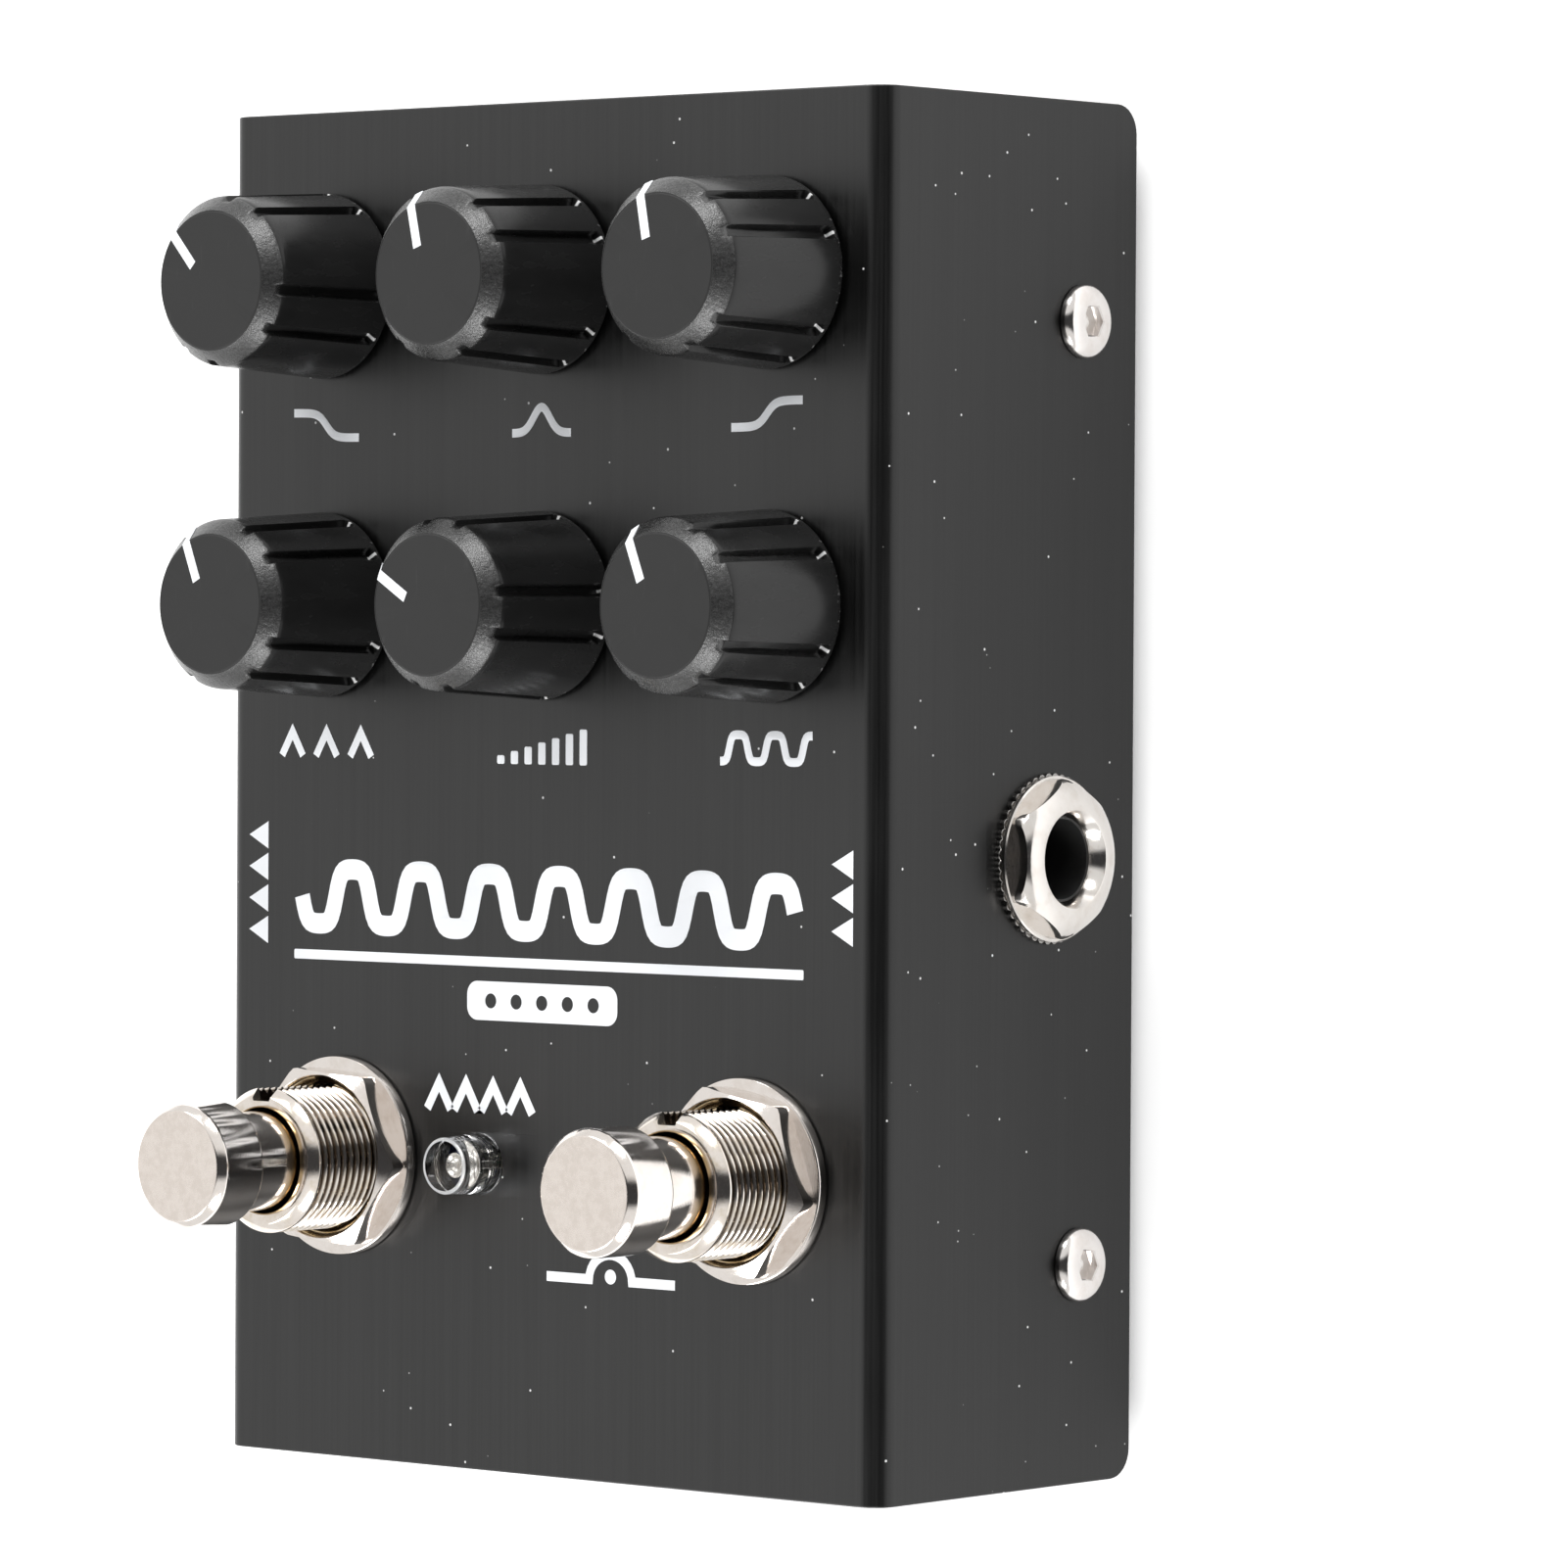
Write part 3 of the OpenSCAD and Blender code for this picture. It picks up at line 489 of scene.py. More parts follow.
class Shape:
    """Points and faces gathered before they become one mesh. Each face has a finish's number."""

    def __init__(self):
        self.points = []
        self.faces = []
        self.numbers = []

    def loft(self, loops, numbers=0, closed=False):
        """Skin over loops of equally many points. A loop of one point closes the skin there."""
        starts = []
        for loop in loops:
            starts.append(len(self.points))
            self.points.extend(Vector(p) for p in loop)
        count = max(len(loop) for loop in loops)
        for i in range(len(loops) if closed else len(loops) - 1):
            j = (i + 1) % len(loops)
            number = numbers[i] if isinstance(numbers, list) else numbers
            for k in range(count):
                low = [starts[i] + n % len(loops[i]) for n in (k, k + 1)]
                high = [starts[j] + n % len(loops[j]) for n in (k + 1, k)]
                self.face(dict.fromkeys(low + high), number)
        return self

    def cap(self, loop):
        start = len(self.points)
        self.points.extend(Vector(p) for p in loop)
        self.face(range(start, start + len(loop)), 0)

    def solid(self, loops):
        """Skin over loops, closed flat at both ends."""
        self.loft(loops)
        self.cap(loops[0])
        self.cap(loops[-1])
        return self

    def face(self, indices, number):
        indices = tuple(indices)
        if len(indices) > 2:
            self.faces.append(indices)
            self.numbers.append(number)

    def take(self, mesh):
        """Adds a mesh's own points and faces."""
        start = len(self.points)
        self.points.extend(v.co.copy() for v in mesh.vertices)
        for polygon in mesh.polygons:
            self.face((start + v for v in polygon.vertices), 0)
        return self


def hex_radius(half_across, angle):
    """Distance of a hexagon's edge from its middle. One of its flats faces angle 0."""
    return half_across / math.cos((angle + TURN / 12) % (TURN / 6) - TURN / 12)


def evenly(count):
    return [TURN * i / count for i in range(count)]


def softened(outline, radius, steps=3):
    """The outline with its inner corners rounded. A third number of a point is its own radius."""
    made = [Vector(outline[0][:2])]
    for before, here, after in zip(outline, outline[1:], outline[2:]):
        corner, size = Vector(here[:2]), here[2] if len(here) > 2 else radius
        to_before = Vector(before[:2]) - corner
        to_after = Vector(after[:2]) - corner
        cut = min(size, to_before.length * 0.45, to_after.length * 0.45)
        if cut <= 0:
            made.append(corner)
            continue
        start = corner + to_before.normalized() * cut
        end = corner + to_after.normalized() * cut
        for i in range(steps + 1):
            t = i / steps
            made.append(start * (1 - t) ** 2 + corner * 2 * t * (1 - t) + end * t**2)
    made.append(Vector(outline[-1][:2]))
    return made


def turned(outline, angles, shape_by=None, numbers=0, closed=False):
    """Loops of an outline of radius and height swung round Z. shape_by moves a point of it."""
    loops = []
    for i, (r, z) in enumerate(outline):
        if r < 1e-9:
            loops.append([(0, 0, z)])
            continue
        loop = []
        for a in angles:
            radius, height = shape_by(i, a, r, z) if shape_by else (r, z)
            loop.append((radius * math.cos(a), radius * math.sin(a), height))
        loops.append(loop)
    return Shape().loft(loops, numbers, closed)


def piece(name, shape, finishes, body, stands_for=(), places=None, sharp=38):
    """Makes a shape into one mesh object, copied to each place, which rides on a body."""
    places = places or [Matrix()]
    origin = places[0].to_translation() if len(places) == 1 else Vector()
    mesh = bpy.data.meshes.new(name)
    points, faces, numbers, own = [], [], [], []
    for place in places:
        start = len(points)
        points.extend(place @ p - origin for p in shape.points)
        own.extend(shape.points)
        faces.extend([start + i for i in face] for face in shape.faces)
        numbers.extend(shape.numbers)
    mesh.from_pydata(points, [], faces)
    for finish in finishes if isinstance(finishes, list) else [finishes]:
        mesh.materials.append(FINISHES[finish])
    mesh.polygons.foreach_set("material_index", numbers)
    turned_at = mesh.attributes.new("turned", "FLOAT_VECTOR", "POINT")
    turned_at.data.foreach_set("vector", [c for p in own for c in p])
    work = bmesh.new()
    work.from_mesh(mesh)
    bmesh.ops.remove_doubles(work, verts=work.verts, dist=0.002 * MM)
    bmesh.ops.recalc_face_normals(work, faces=work.faces)
    for face in work.faces:
        face.smooth = True
    work.to_mesh(mesh)
    work.free()
    mesh.set_sharp_from_angle(angle=rad(sharp))
    made = bpy.data.objects.new(name, mesh)
    bpy.context.scene.collection.objects.link(made)
    made.location = origin
    weighted = made.modifiers.new("even_normals", "WEIGHTED_NORMAL")
    weighted.keep_sharp = True
    if stands_for:
        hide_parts(*stands_for)
    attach(made, body)
    return made


def axis_of(node):
    """The middle of a node's box, across and along, at the height of its foot."""
    low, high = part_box(node)
    return Vector(((low.x + high.x) / 2, (low.y + high.y) / 2, low.z))


def upright(x, y, z):
    return Matrix.Translation((x, y, z))


def sideways(side, x, y, z):
    """A place on the left (-1) or right (1) side, with the piece's own Z pointing outwards."""
    return Matrix.Translation((side * x, y, z)) @ Matrix.Rotation(side * TURN / 4, 4, "Y")


def flat_sheet(loops, thickness, edge):
    """Mesh of a flat sheet with holes and softened edges. Its upper face is on Z = 0."""
    curve = bpy.data.curves.new("blank", "CURVE")
    curve.dimensions = "2D"
    curve.fill_mode = "BOTH"
    curve.extrude = thickness / 2 - edge
    curve.bevel_depth = edge
    curve.bevel_resolution = 1
    curve.offset = -edge
    for loop in loops:
        spline = curve.splines.new("POLY")
        spline.points.add(len(loop) - 1)
        spline.use_cyclic_u = True
        for point, (x, y) in zip(spline.points, loop):
            point.co = (x, y, 0, 1)
    holder = bpy.data.objects.new("blank", curve)
    bpy.context.scene.collection.objects.link(holder)
    solid = holder.evaluated_get(bpy.context.evaluated_depsgraph_get())
    mesh = bpy.data.meshes.new_from_object(solid)
    mesh.transform(Matrix.Translation((0, 0, -thickness / 2)))
    bpy.data.objects.remove(holder)
    return mesh


def circle(x, y, r, count=48):
    return [(x + r * math.cos(a), y + r * math.sin(a)) for a in evenly(count)]


def corner_arc(x, y, r, start, steps=8):
    """A quarter circle's points from the angle start, in degrees, anticlockwise."""
    angles = [rad(start + 90 * i / steps) for i in range(steps + 1)]
    return [(x + r * math.cos(a), y + r * math.sin(a)) for a in angles]


def rounded_box(x0, y0, x1, y1, r, steps=8):
    return [
        *corner_arc(x1 - r, y1 - r, r, 0, steps),
        *corner_arc(x0 + r, y1 - r, r, 90, steps),
        *corner_arc(x0 + r, y0 + r, r, 180, steps),
        *corner_arc(x1 - r, y0 + r, r, 270, steps),
    ]


def folded(mesh, across, flat, base, out):
    """Folds a flat sheet down past flat on both sides of one axis. Its outer face is at base."""
    work = bmesh.new()
    work.from_mesh(mesh)
    bmesh.ops.remove_doubles(work, verts=work.verts, dist=0.002 * MM)
    normal = Vector((1, 0, 0)) if across == 0 else Vector((0, 1, 0))
    fold_steps = 10
    for side in (-1, 1):
        for i in range(fold_steps + 1):
            bmesh.ops.bisect_plane(
                work,
                geom=[*work.verts, *work.edges, *work.faces],
                plane_co=normal * side * (flat + FOLD_ARC * i / fold_steps),
                plane_no=normal,
                dist=1e-7,
            )
    for vertex in work.verts:
        along = vertex.co[across]
        beyond = abs(along) - flat
        depth = vertex.co.z * out
        if beyond <= 0:
            continue
        angle = min(beyond / FOLD_R, TURN / 4)
        drop = max(0, beyond - FOLD_ARC)
        reach = flat + (FOLD_R + depth) * math.sin(angle)
        vertex.co[across] = math.copysign(reach, along)
        vertex.co.z = out * ((FOLD_R + depth) * math.cos(angle) - FOLD_R - drop)
    bmesh.ops.translate(work, vec=(0, 0, base), verts=work.verts)
    work.to_mesh(mesh)
    work.free()
    return mesh


# ---------------------------------------------------------------- camera, floor and light


def make_camera():
    data = bpy.data.cameras.new("camera")
    data.sensor_width = 36
    data.lens = 180.56
    camera = bpy.data.objects.new("camera", data)
    bpy.context.scene.collection.objects.link(camera)
    right = Vector((0.76522, 0.00523, -0.64374))
    up = Vector((-0.0172, 0.99977, -0.0124))
    back = right.cross(up)
    camera.matrix_world = Matrix.Translation((0.42719, 0.01375, 0.51230)) @ Matrix(
        (right, up, back)
    ).transposed().to_4x4()
    bpy.context.scene.camera = camera


make_camera()
scene = bpy.context.scene
scene.view_settings.view_transform = "Standard"


def make_sky():
    """Even studio light, with a dim gap between the soft boxes where the room shows."""
    world = bpy.data.worlds.new("studio")
    scene.world = world
    sky = Shading(world)
    towards = sky.node("ShaderNodeTexCoord", output="Generated")
    across = sky.dot(towards, (0.765, 0.005, -0.644))
    along = sky.dot(towards, (0.0, 1.0, 0.0))
    facing = sky.dot(towards, (0.643, 0.02, 0.765))
    gap = sky.ramp(abs(across), 0.93, 0.72) * sky.ramp(abs(along), 0.42, 0.2)
    gap *= sky.ramp(facing, 0.0, 0.2)
    colour = sky.mix(gap, (1.0, 1.0, 0.995), (0.05, 0.05, 0.052))
    background = sky.tree.nodes["Background"]
    sky.put(background.inputs["Color"], colour)
    background.inputs["Strength"].default_value = 1.0


make_sky()


def make_floor():
    """A flat pale floor, six metres square, with a faint glow of its own."""
    size = 3.0
    mesh = bpy.data.meshes.new("floor")
    mesh.from_pydata(
        [(-size, -size, 0), (size, -size, 0), (size, size, 0), (-size, size, 0)],
        [],
        [(0, 1, 2, 3)],
    )
    f = Finish("pale_floor", Roughness=0.7, Specular_IOR_Level=0.2, Emission_Strength=0.3)
    f.set("Emission Color", 1.0)
    paper = f.noise(f.place(), 1.5 * MM, 3)
    f.set("Base Color", f.mix(paper, 0.93, 0.95))
    mesh.materials.append(f.material)
    floor = bpy.data.objects.new("floor", mesh)
    scene.collection.objects.link(floor)


make_floor()


def soft_box(name, place, target, width, height, power):
    data = bpy.data.lights.new(name, "AREA")
    data.shape = "RECTANGLE"
    data.size = width
    data.size_y = height
    data.energy = power
    lamp = bpy.data.objects.new(name, data)
    scene.collection.objects.link(lamp)
    lamp.location = place
    lamp.rotation_euler = (Vector(target) - Vector(place)).to_track_quat("-Z", "Y").to_euler()


soft_box("far_box", (0.22, 0.78, 0.42), (0, 0, 0.03), 0.35, 0.25, 4.0)
soft_box("near_box", (0.34, -0.76, 0.44), (0, 0, 0.03), 0.35, 0.25, 4.0)
soft_box("far_left_box", (-0.35, 0.75, 0.65), (0, 0, 0.03), 0.5, 0.4, 3.0)
soft_box("near_left_box", (-0.35, -0.75, 0.65), (0, 0, 0.03), 0.5, 0.4, 3.0)


# ---------------------------------------------------------------- case


def wall_place(height):
    """How far out on the flat blank a place on the cover's side wall is, from its height."""
    return FACE_FLAT + FOLD_ARC + (FACE - FOLD_R - height)


KNOB_AXES = {name: axis_of(f"knob_{name}") for name in KNOB_TURNS}
SWITCH_AXES = {name: axis_of(f"{name}_switch_barrel") for name in SWITCHES}
LED_AXES = {name: axis_of(f"led_{name}") for name in SWITCHES}
JACK_NUT_LOW, JACK_NUT_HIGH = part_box("jack_nuts")
JACK_Y = (JACK_NUT_LOW.y + JACK_NUT_HIGH.y) / 2
JACK_Z = (JACK_NUT_LOW.z + JACK_NUT_HIGH.z) / 2
SCREWS_LOW, SCREWS_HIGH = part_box("cover_screws")
HEAD_R = 3 * MM
SCREW_Y = SCREWS_HIGH.y - HEAD_R
SCREW_Z = (SCREWS_LOW.z + SCREWS_HIGH.z) / 2
DC_LOW, DC_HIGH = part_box("dc_jack_pin")
DC_Z = (DC_LOW.z + DC_HIGH.z) / 2


def make_cover():
    """Blank cut flat with all its holes, then folded down along both long sides."""
    reach = wall_place(COVER_LOW.z)
    loops = [rounded_box(-reach, COVER_LOW.y, reach, COVER_HIGH.y, CORNER_R)]
    loops += [circle(a.x, a.y, 3.6 * MM) for a in KNOB_AXES.values()]
    loops += [circle(a.x, a.y, 6.1 * MM) for a in SWITCH_AXES.values()]
    loops += [circle(a.x, a.y, 2.5 * MM) for a in LED_AXES.values()]
    for side in (-1, 1):
        loops.append(circle(side * wall_place(JACK_Z), JACK_Y, 4.6 * MM))
        for end in (-1, 1):
            loops.append(circle(side * wall_place(SCREW_Z), end * SCREW_Y, 1.65 * MM, 32))
    mesh = folded(flat_sheet(loops, SHEET, EDGE), 0, FACE_FLAT, FACE, 1)
    shape = Shape().take(mesh)
    piece("cover_shell", shape, "cover", "case", ["cover"])


def make_tray():
    """Blank folded up at both ends, with the four tabs that the case's screws hold."""
    half_w = TRAY_HIGH.x
    end_flat = TRAY_HIGH.y - FOLD_R
    end_reach = end_flat + FOLD_ARC + (TRAY_HIGH.z - TRAY_LOW.z - FOLD_R)
    dc_place = end_flat + FOLD_ARC + (DC_Z - TRAY_LOW.z - FOLD_R)
    blank = rounded_box(-half_w, -end_reach, half_w, end_reach, 0.6 * MM, 3)
    mesh = flat_sheet([blank, circle(0, dc_place, 4.75 * MM)], SHEET, EDGE)
    mesh.transform(Matrix.Translation((0, 0, SHEET)))
    shape = Shape().take(folded(mesh, 1, end_flat, TRAY_LOW.z, -1))
    tab_half = 6 * MM
    tab_low = TRAY_LOW.z + 0.3 * MM - SCREW_Z
    tab = [rounded_box(-tab_half, tab_low, tab_half, tab_half, 0.5 * MM, 3)]
    tab.append(circle(0, 0, 2.1 * MM, 32))
    for side in (-1, 1):
        for end in (-1, 1):
            plate = flat_sheet(tab, SHEET, EDGE)
            upright_plate = Matrix(((0, 0, side, 0), (side, 0, 0, 0), (0, 1, 0, 0), (0, 0, 0, 1)))
            corner = Matrix.Translation((side * half_w, end * SCREW_Y, SCREW_Z))
            plate.transform(corner @ upright_plate)
            shape.take(plate)
    piece("base_tray_shell", shape, "tray", "case", ["base_tray"])


make_cover()
make_tray()


def make_feet():
    """Stick-on rubber feet, wider where they are stuck on."""
    low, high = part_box("rubber_feet")
    widths = [(0, 7.6), (0.1, 8.0), (0.3, 8.25), (2.0, 10.1), (2.25, 10.2), (2.42, 10.1), (2.5, 9.9)]
    loops = []
    for height, width in widths:
        half = width / 2 * MM
        square = rounded_box(-half, -half, half, half, 1.3 * MM)
        loops.append([(x, y, height * MM) for x, y in square])
    shape = Shape().solid(loops)
    at = high - Vector((5.1, 5.1, 0)) * MM
    places = [upright(x * at.x, y * at.y, low.z) for x in (-1, 1) for y in (-1, 1)]
    piece("feet", shape, "rubber", "case", ["rubber_feet"], places)


def make_screws():
    """Button-head screws with a hexagon socket."""
    head_h = SCREWS_HIGH.x - COVER_HIGH.x
    crown_r = 0.55 * HEAD_R
    socket_h = 0.8 * MM
    key_half = 1.15 * MM
    dome = []
    for i in range(9):
        angle = rad(i * 90 / 8)
        radius = HEAD_R - (HEAD_R - crown_r) * (1 - math.cos(angle))
        dome.append((radius, 0.35 * MM + (head_h - 0.35 * MM) * math.sin(angle)))
    outline = [(0, -6 * MM), (1.3 * MM, -6 * MM), (1.5 * MM, -5.8 * MM), (1.5 * MM, 0)]
    outline += [(HEAD_R - 0.1 * MM, 0), (HEAD_R, 0.1 * MM), *dome]
    socket_from = len(outline)
    floor = head_h - socket_h
    lip = 0.1 * MM
    socket = [(key_half + lip, head_h), (key_half, head_h - lip), (key_half, floor)]
    outline += [(1.5 * MM, head_h), *socket, (0, floor - lip)]

    def key(i, angle, r, z):
        in_socket = socket_from < i <= socket_from + len(socket)
        return (hex_radius(r, angle) if in_socket else r), z

    shape = turned(outline, evenly(72), key)
    places = [
        sideways(side, COVER_HIGH.x, end * SCREW_Y, SCREW_Z) @ Matrix.Rotation(rad(turn), 4, "Z")
        for side, end, turn in ((-1, -1, 12), (-1, 1, 41), (1, -1, 25), (1, 1, 30))
    ]
    piece("case_screws", shape, "screw", "case", ["cover_screws"], places)


make_feet()
make_screws()


# ---------------------------------------------------------------- knobs

KNOB_LOW, KNOB_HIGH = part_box("knob_mid")
KNOB_H = KNOB_HIGH.z - KNOB_LOW.z
SKIRT_R = 7.7 * MM
RIM_R = 7.0 * MM
DISC_R = 5.75 * MM
BEVEL_Z = KNOB_H - 1.4 * MM
GROOVE_DEPTH = 0.7 * MM
# How deep a groove is at so many degrees from its middle
GROOVE_FORM = ((0, 1), (2.7, 1), (3.4, 0.8), (3.9, 0.2), (4.5, 0))
SHAFT_HOLE_R = 3 * MM
SHAFT_HOLE_TOP = 11.4 * MM
HOLLOW_R = 5.55 * MM
HOLLOW_TOP = 4 * MM


def groove_depths():
    """Angles round a knob, close together at the grooves, each with the groove's depth there."""
    middles = [GROOVE_TURN + 90 * k + s * GROOVE_PAIR / 2 for k in range(4) for s in (-1, 1)]
    depths = {}
    for middle in middles:
        for offset, depth in GROOVE_FORM:
            for s in (-1, 1):
                depths[(middle + s * offset) % 360] = depth
    reach = GROOVE_FORM[-1][0] + 1
    for angle in range(0, 360, 3):
        away = min(abs((angle - m + 180) % 360 - 180) for m in middles)
        if away > reach:
            depths[float(angle)] = 0
    return dict(sorted(depths.items()))


def make_knob(name, turn):
    """Knob with grip grooves in pairs, a grainy bevel and a satin disc."""
    depths = groove_depths()
    by_angle = {rad(a): depth for a, depth in depths.items()}
    bevel_in = RIM_R - DISC_R
    bevel_up = KNOB_H - BEVEL_Z
    outline = softened(
        [
            (0, SHAFT_HOLE_TOP),
            (SHAFT_HOLE_R, SHAFT_HOLE_TOP),
            (SHAFT_HOLE_R, HOLLOW_TOP),
            (HOLLOW_R, HOLLOW_TOP),
            (HOLLOW_R, 0),
            (SKIRT_R, 0),
            (SKIRT_R - 0.02 * MM, LEDGE_Z - 0.03 * MM, 0),
            (SKIRT_R - 0.03 * MM, LEDGE_Z + 0.03 * MM, 0),
            *((SKIRT_R - (SKIRT_R - RIM_R) * t, BEVEL_Z * t, 0) for t in (0.7, 0.78, 0.86, 0.92)),
            (RIM_R, BEVEL_Z, 0.45 * MM),
            *((RIM_R - bevel_in * t, BEVEL_Z + bevel_up * t, 0) for t in (0.4, 0.5, 0.6)),
            (DISC_R, KNOB_H, 0.08 * MM),
            (DISC_R - 0.08 * MM, KNOB_H - 0.05 * MM, 0),
            (DISC_R - 0.16 * MM, KNOB_H, 0.04 * MM),
            (0, KNOB_H),
        ],
        0.15 * MM,
    )

    def grip(_, angle, r, z):
        wall = SKIRT_R + (RIM_R - SKIRT_R) * z / BEVEL_Z
        run_out = min(1, max(0, (z / BEVEL_Z - 0.7) / 0.4))
        floor = wall - GROOVE_DEPTH * (1 - 0.5 * run_out)
        if z < LEDGE_Z or r < DISC_R or r < floor:
            return r, z
        return r - by_angle[angle] * (r - floor), z

    numbers = []
    for (r0, z0), (r1, z1) in zip(outline, outline[1:]):
        front = (z0 + z1) / 2 > KNOB_H - 0.07 * MM and (r0 + r1) / 2 < DISC_R
        bevel = (z0 + z1) / 2 > BEVEL_Z + 0.05 * MM
        numbers.append(0 if front else 1 if bevel else 2)
    shape = turned(outline, list(by_angle), grip, numbers)
    axis = KNOB_AXES[name]
    place = upright(axis.x, axis.y, KNOB_LOW.z) @ Matrix.Rotation(rad(turn), 4, "Z")
    finishes = ["knob_disc", "knob_bevel", "knob_side"]
    body = f"{name}_control"
    piece(f"{name}_knob", shape, finishes, body, [f"knob_{name}"], [place])
    make_pointer(name, place)


def make_pointer(name, place):
    """White line on a knob, from near its middle over the disc's edge and down the bevel."""
    half = 0.43 * MM
    skin = 0.035 * MM
    slope = Vector((RIM_R - DISC_R, BEVEL_Z - KNOB_H))
    lean = Vector((-slope.y, slope.x)).normalized()
    flat = Vector((0, 1))
    edge = Vector((DISC_R, KNOB_H))
    stations = [
        (Vector((2.4 * MM, KNOB_H)), flat, 0.45 * MM),
        (Vector((4.5 * MM, KNOB_H)), flat, 0.2 * MM),
        (edge, (flat + lean).normalized(), 0.05 * MM),
        (edge + slope * 0.5, lean, -0.02 * MM),
        (edge + slope * 0.92, lean, -0.05 * MM),
    ]
    loops = []
    for (r, z), normal, drift in stations:
        top = Vector((r, z)) + normal * skin
        under = Vector((r, z)) - normal * skin
        corners = ((top, 1), (top, -1), (under, -1), (under, 1))
        loops.append([(p.x, side * half + drift, p.y) for p, side in corners])
    shape = Shape().solid(loops)
    piece(f"{name}_pointer", shape, "print", f"{name}_control", places=[place])


for knob_name, knob_turn in KNOB_TURNS.items():
    make_knob(knob_name, knob_turn)


# ---------------------------------------------------------------- footswitches

# Heights from here on are above the face
CAP_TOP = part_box("boost_plunger")[1].z - FACE
THREAD_PITCH = 0.75 * MM
THREAD_DEPTH = 0.42 * MM
KEY_HALF_TURN = 10.6
KEY_FLOOR = 4.9 * MM
WASHER_T = 1 * MM
NUT_T = 2.1 * MM
PLATE_FOOT = -3.5 * MM


def make_barrel(name):
    """Threaded barrel with a keyway on its far side, on a square mounting plate."""
    rows = 12
    step = THREAD_PITCH / rows
    count = int((THREAD_TOP - WASHER_T) / step)
    thread = [(BARREL_R, WASHER_T + i * step) for i in range(count + 1)]
    outline = [
        (3.25 * MM, PLATE_FOOT),
        (BARREL_R, PLATE_FOOT),
        *thread,
        (BARREL_R, THREAD_TOP),
        (BARREL_R - 0.06 * MM, BARREL_TOP - 0.7 * MM),
        (BARREL_R - 0.68 * MM, BARREL_TOP - 0.07 * MM),
        (BARREL_R - 0.8 * MM, BARREL_TOP),
        (4.5 * MM, BARREL_TOP),
        (4.42 * MM, BARREL_TOP - 0.04 * MM),
        (4.3 * MM, BARREL_TOP - 0.2 * MM),
        (4.3 * MM, 1.6 * MM),
        (3.25 * MM, 1.6 * MM),
    ]
    key_middle = 90
    edges = [key_middle + s * (KEY_HALF_TURN + d) for s in (-1, 1) for d in (-0.25, 0.25)]
    angles = sorted({float(a) for a in range(0, 360, 3)} | set(edges))

    def cut(_, angle, r, z):
        if r > 5.9 * MM and WASHER_T <= z <= THREAD_TOP:
            phase = (z / THREAD_PITCH - angle / TURN) % 1
            valley = min(1, max(0, 1.25 - 1.5 * abs(phase * 2 - 1)))
            fade = min(1, (THREAD_TOP - z) / (0.5 * MM), (z - WASHER_T) / (0.3 * MM))
            r -= THREAD_DEPTH * valley * max(0, fade)
        off = abs(math.degrees(angle) - key_middle)
        if off < KEY_HALF_TURN and z > 0:
            r = min(r, KEY_FLOOR / math.cos(rad(off)))
        return r, z

    shape = turned(outline, [rad(a) for a in angles], cut, closed=True)
    low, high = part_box(f"{name}_switch_barrel")
    half_x = (high.x - low.x) / 2
    half_y = (high.y - low.y) / 2
    plate_t = 2 * MM
    outer = rounded_box(-half_x, -half_y, half_x, half_y, 1 * MM)
    plate = flat_sheet([outer, circle(0, 0, BARREL_R)], plate_t, EDGE)
    plate.transform(Matrix.Translation((0, 0, PLATE_FOOT + plate_t)))
    shape.take(plate)
    axis = SWITCH_AXES[name]
    place = upright(axis.x, axis.y, FACE)
    node = f"{name}_switch_barrel"
    piece(f"{name}_barrel", shape, "thread", "case", [node], [place])


def make_plunger(name):
    """Plunger: flat cap with a turned edge, on a stem with a guide collar and a tail."""
    collar = PLATE_FOOT - 1.2 * MM
    cap_foot = CAP_TOP - 4.9 * MM
    cap_r = 5.1 * MM
    outline = softened(
        [
            (0, PLATE_FOOT - 6.9 * MM),
            (1.5 * MM, PLATE_FOOT - 6.9 * MM),
            (1.5 * MM, collar),
            (4.2 * MM, collar),
            (4.2 * MM, collar + 1 * MM),
            (3.2 * MM, collar + 1 * MM),
            (3.2 * MM, 4.7 * MM),
            (4.1 * MM, 5.6 * MM),
            (4.1 * MM, cap_foot),
            (cap_r, cap_foot, 0.25 * MM),
            (cap_r, CAP_TOP - 0.6 * MM, 0.2 * MM),
            (cap_r - 0.6 * MM, CAP_TOP, 0.12 * MM),
            (0, CAP_TOP),
        ],
        0.1 * MM,
        4,
    )
    numbers = []
    for (r0, z0), (_, z1) in zip(outline, outline[1:]):
        on_top = (z0 + z1) / 2 > CAP_TOP - 0.03 * MM and r0 < cap_r - 0.4 * MM
        numbers.append(0 if on_top else 1)
    shape = turned(outline, evenly(96), numbers=numbers)
    axis = SWITCH_AXES[name]
    place = upright(axis.x, axis.y, FACE)
    finishes = ["stainless", "plunger"]
    body = f"{name}_button"
    node = f"{name}_plunger"
    piece(f"{name}_button_cap", shape, finishes, body, [node], [place])


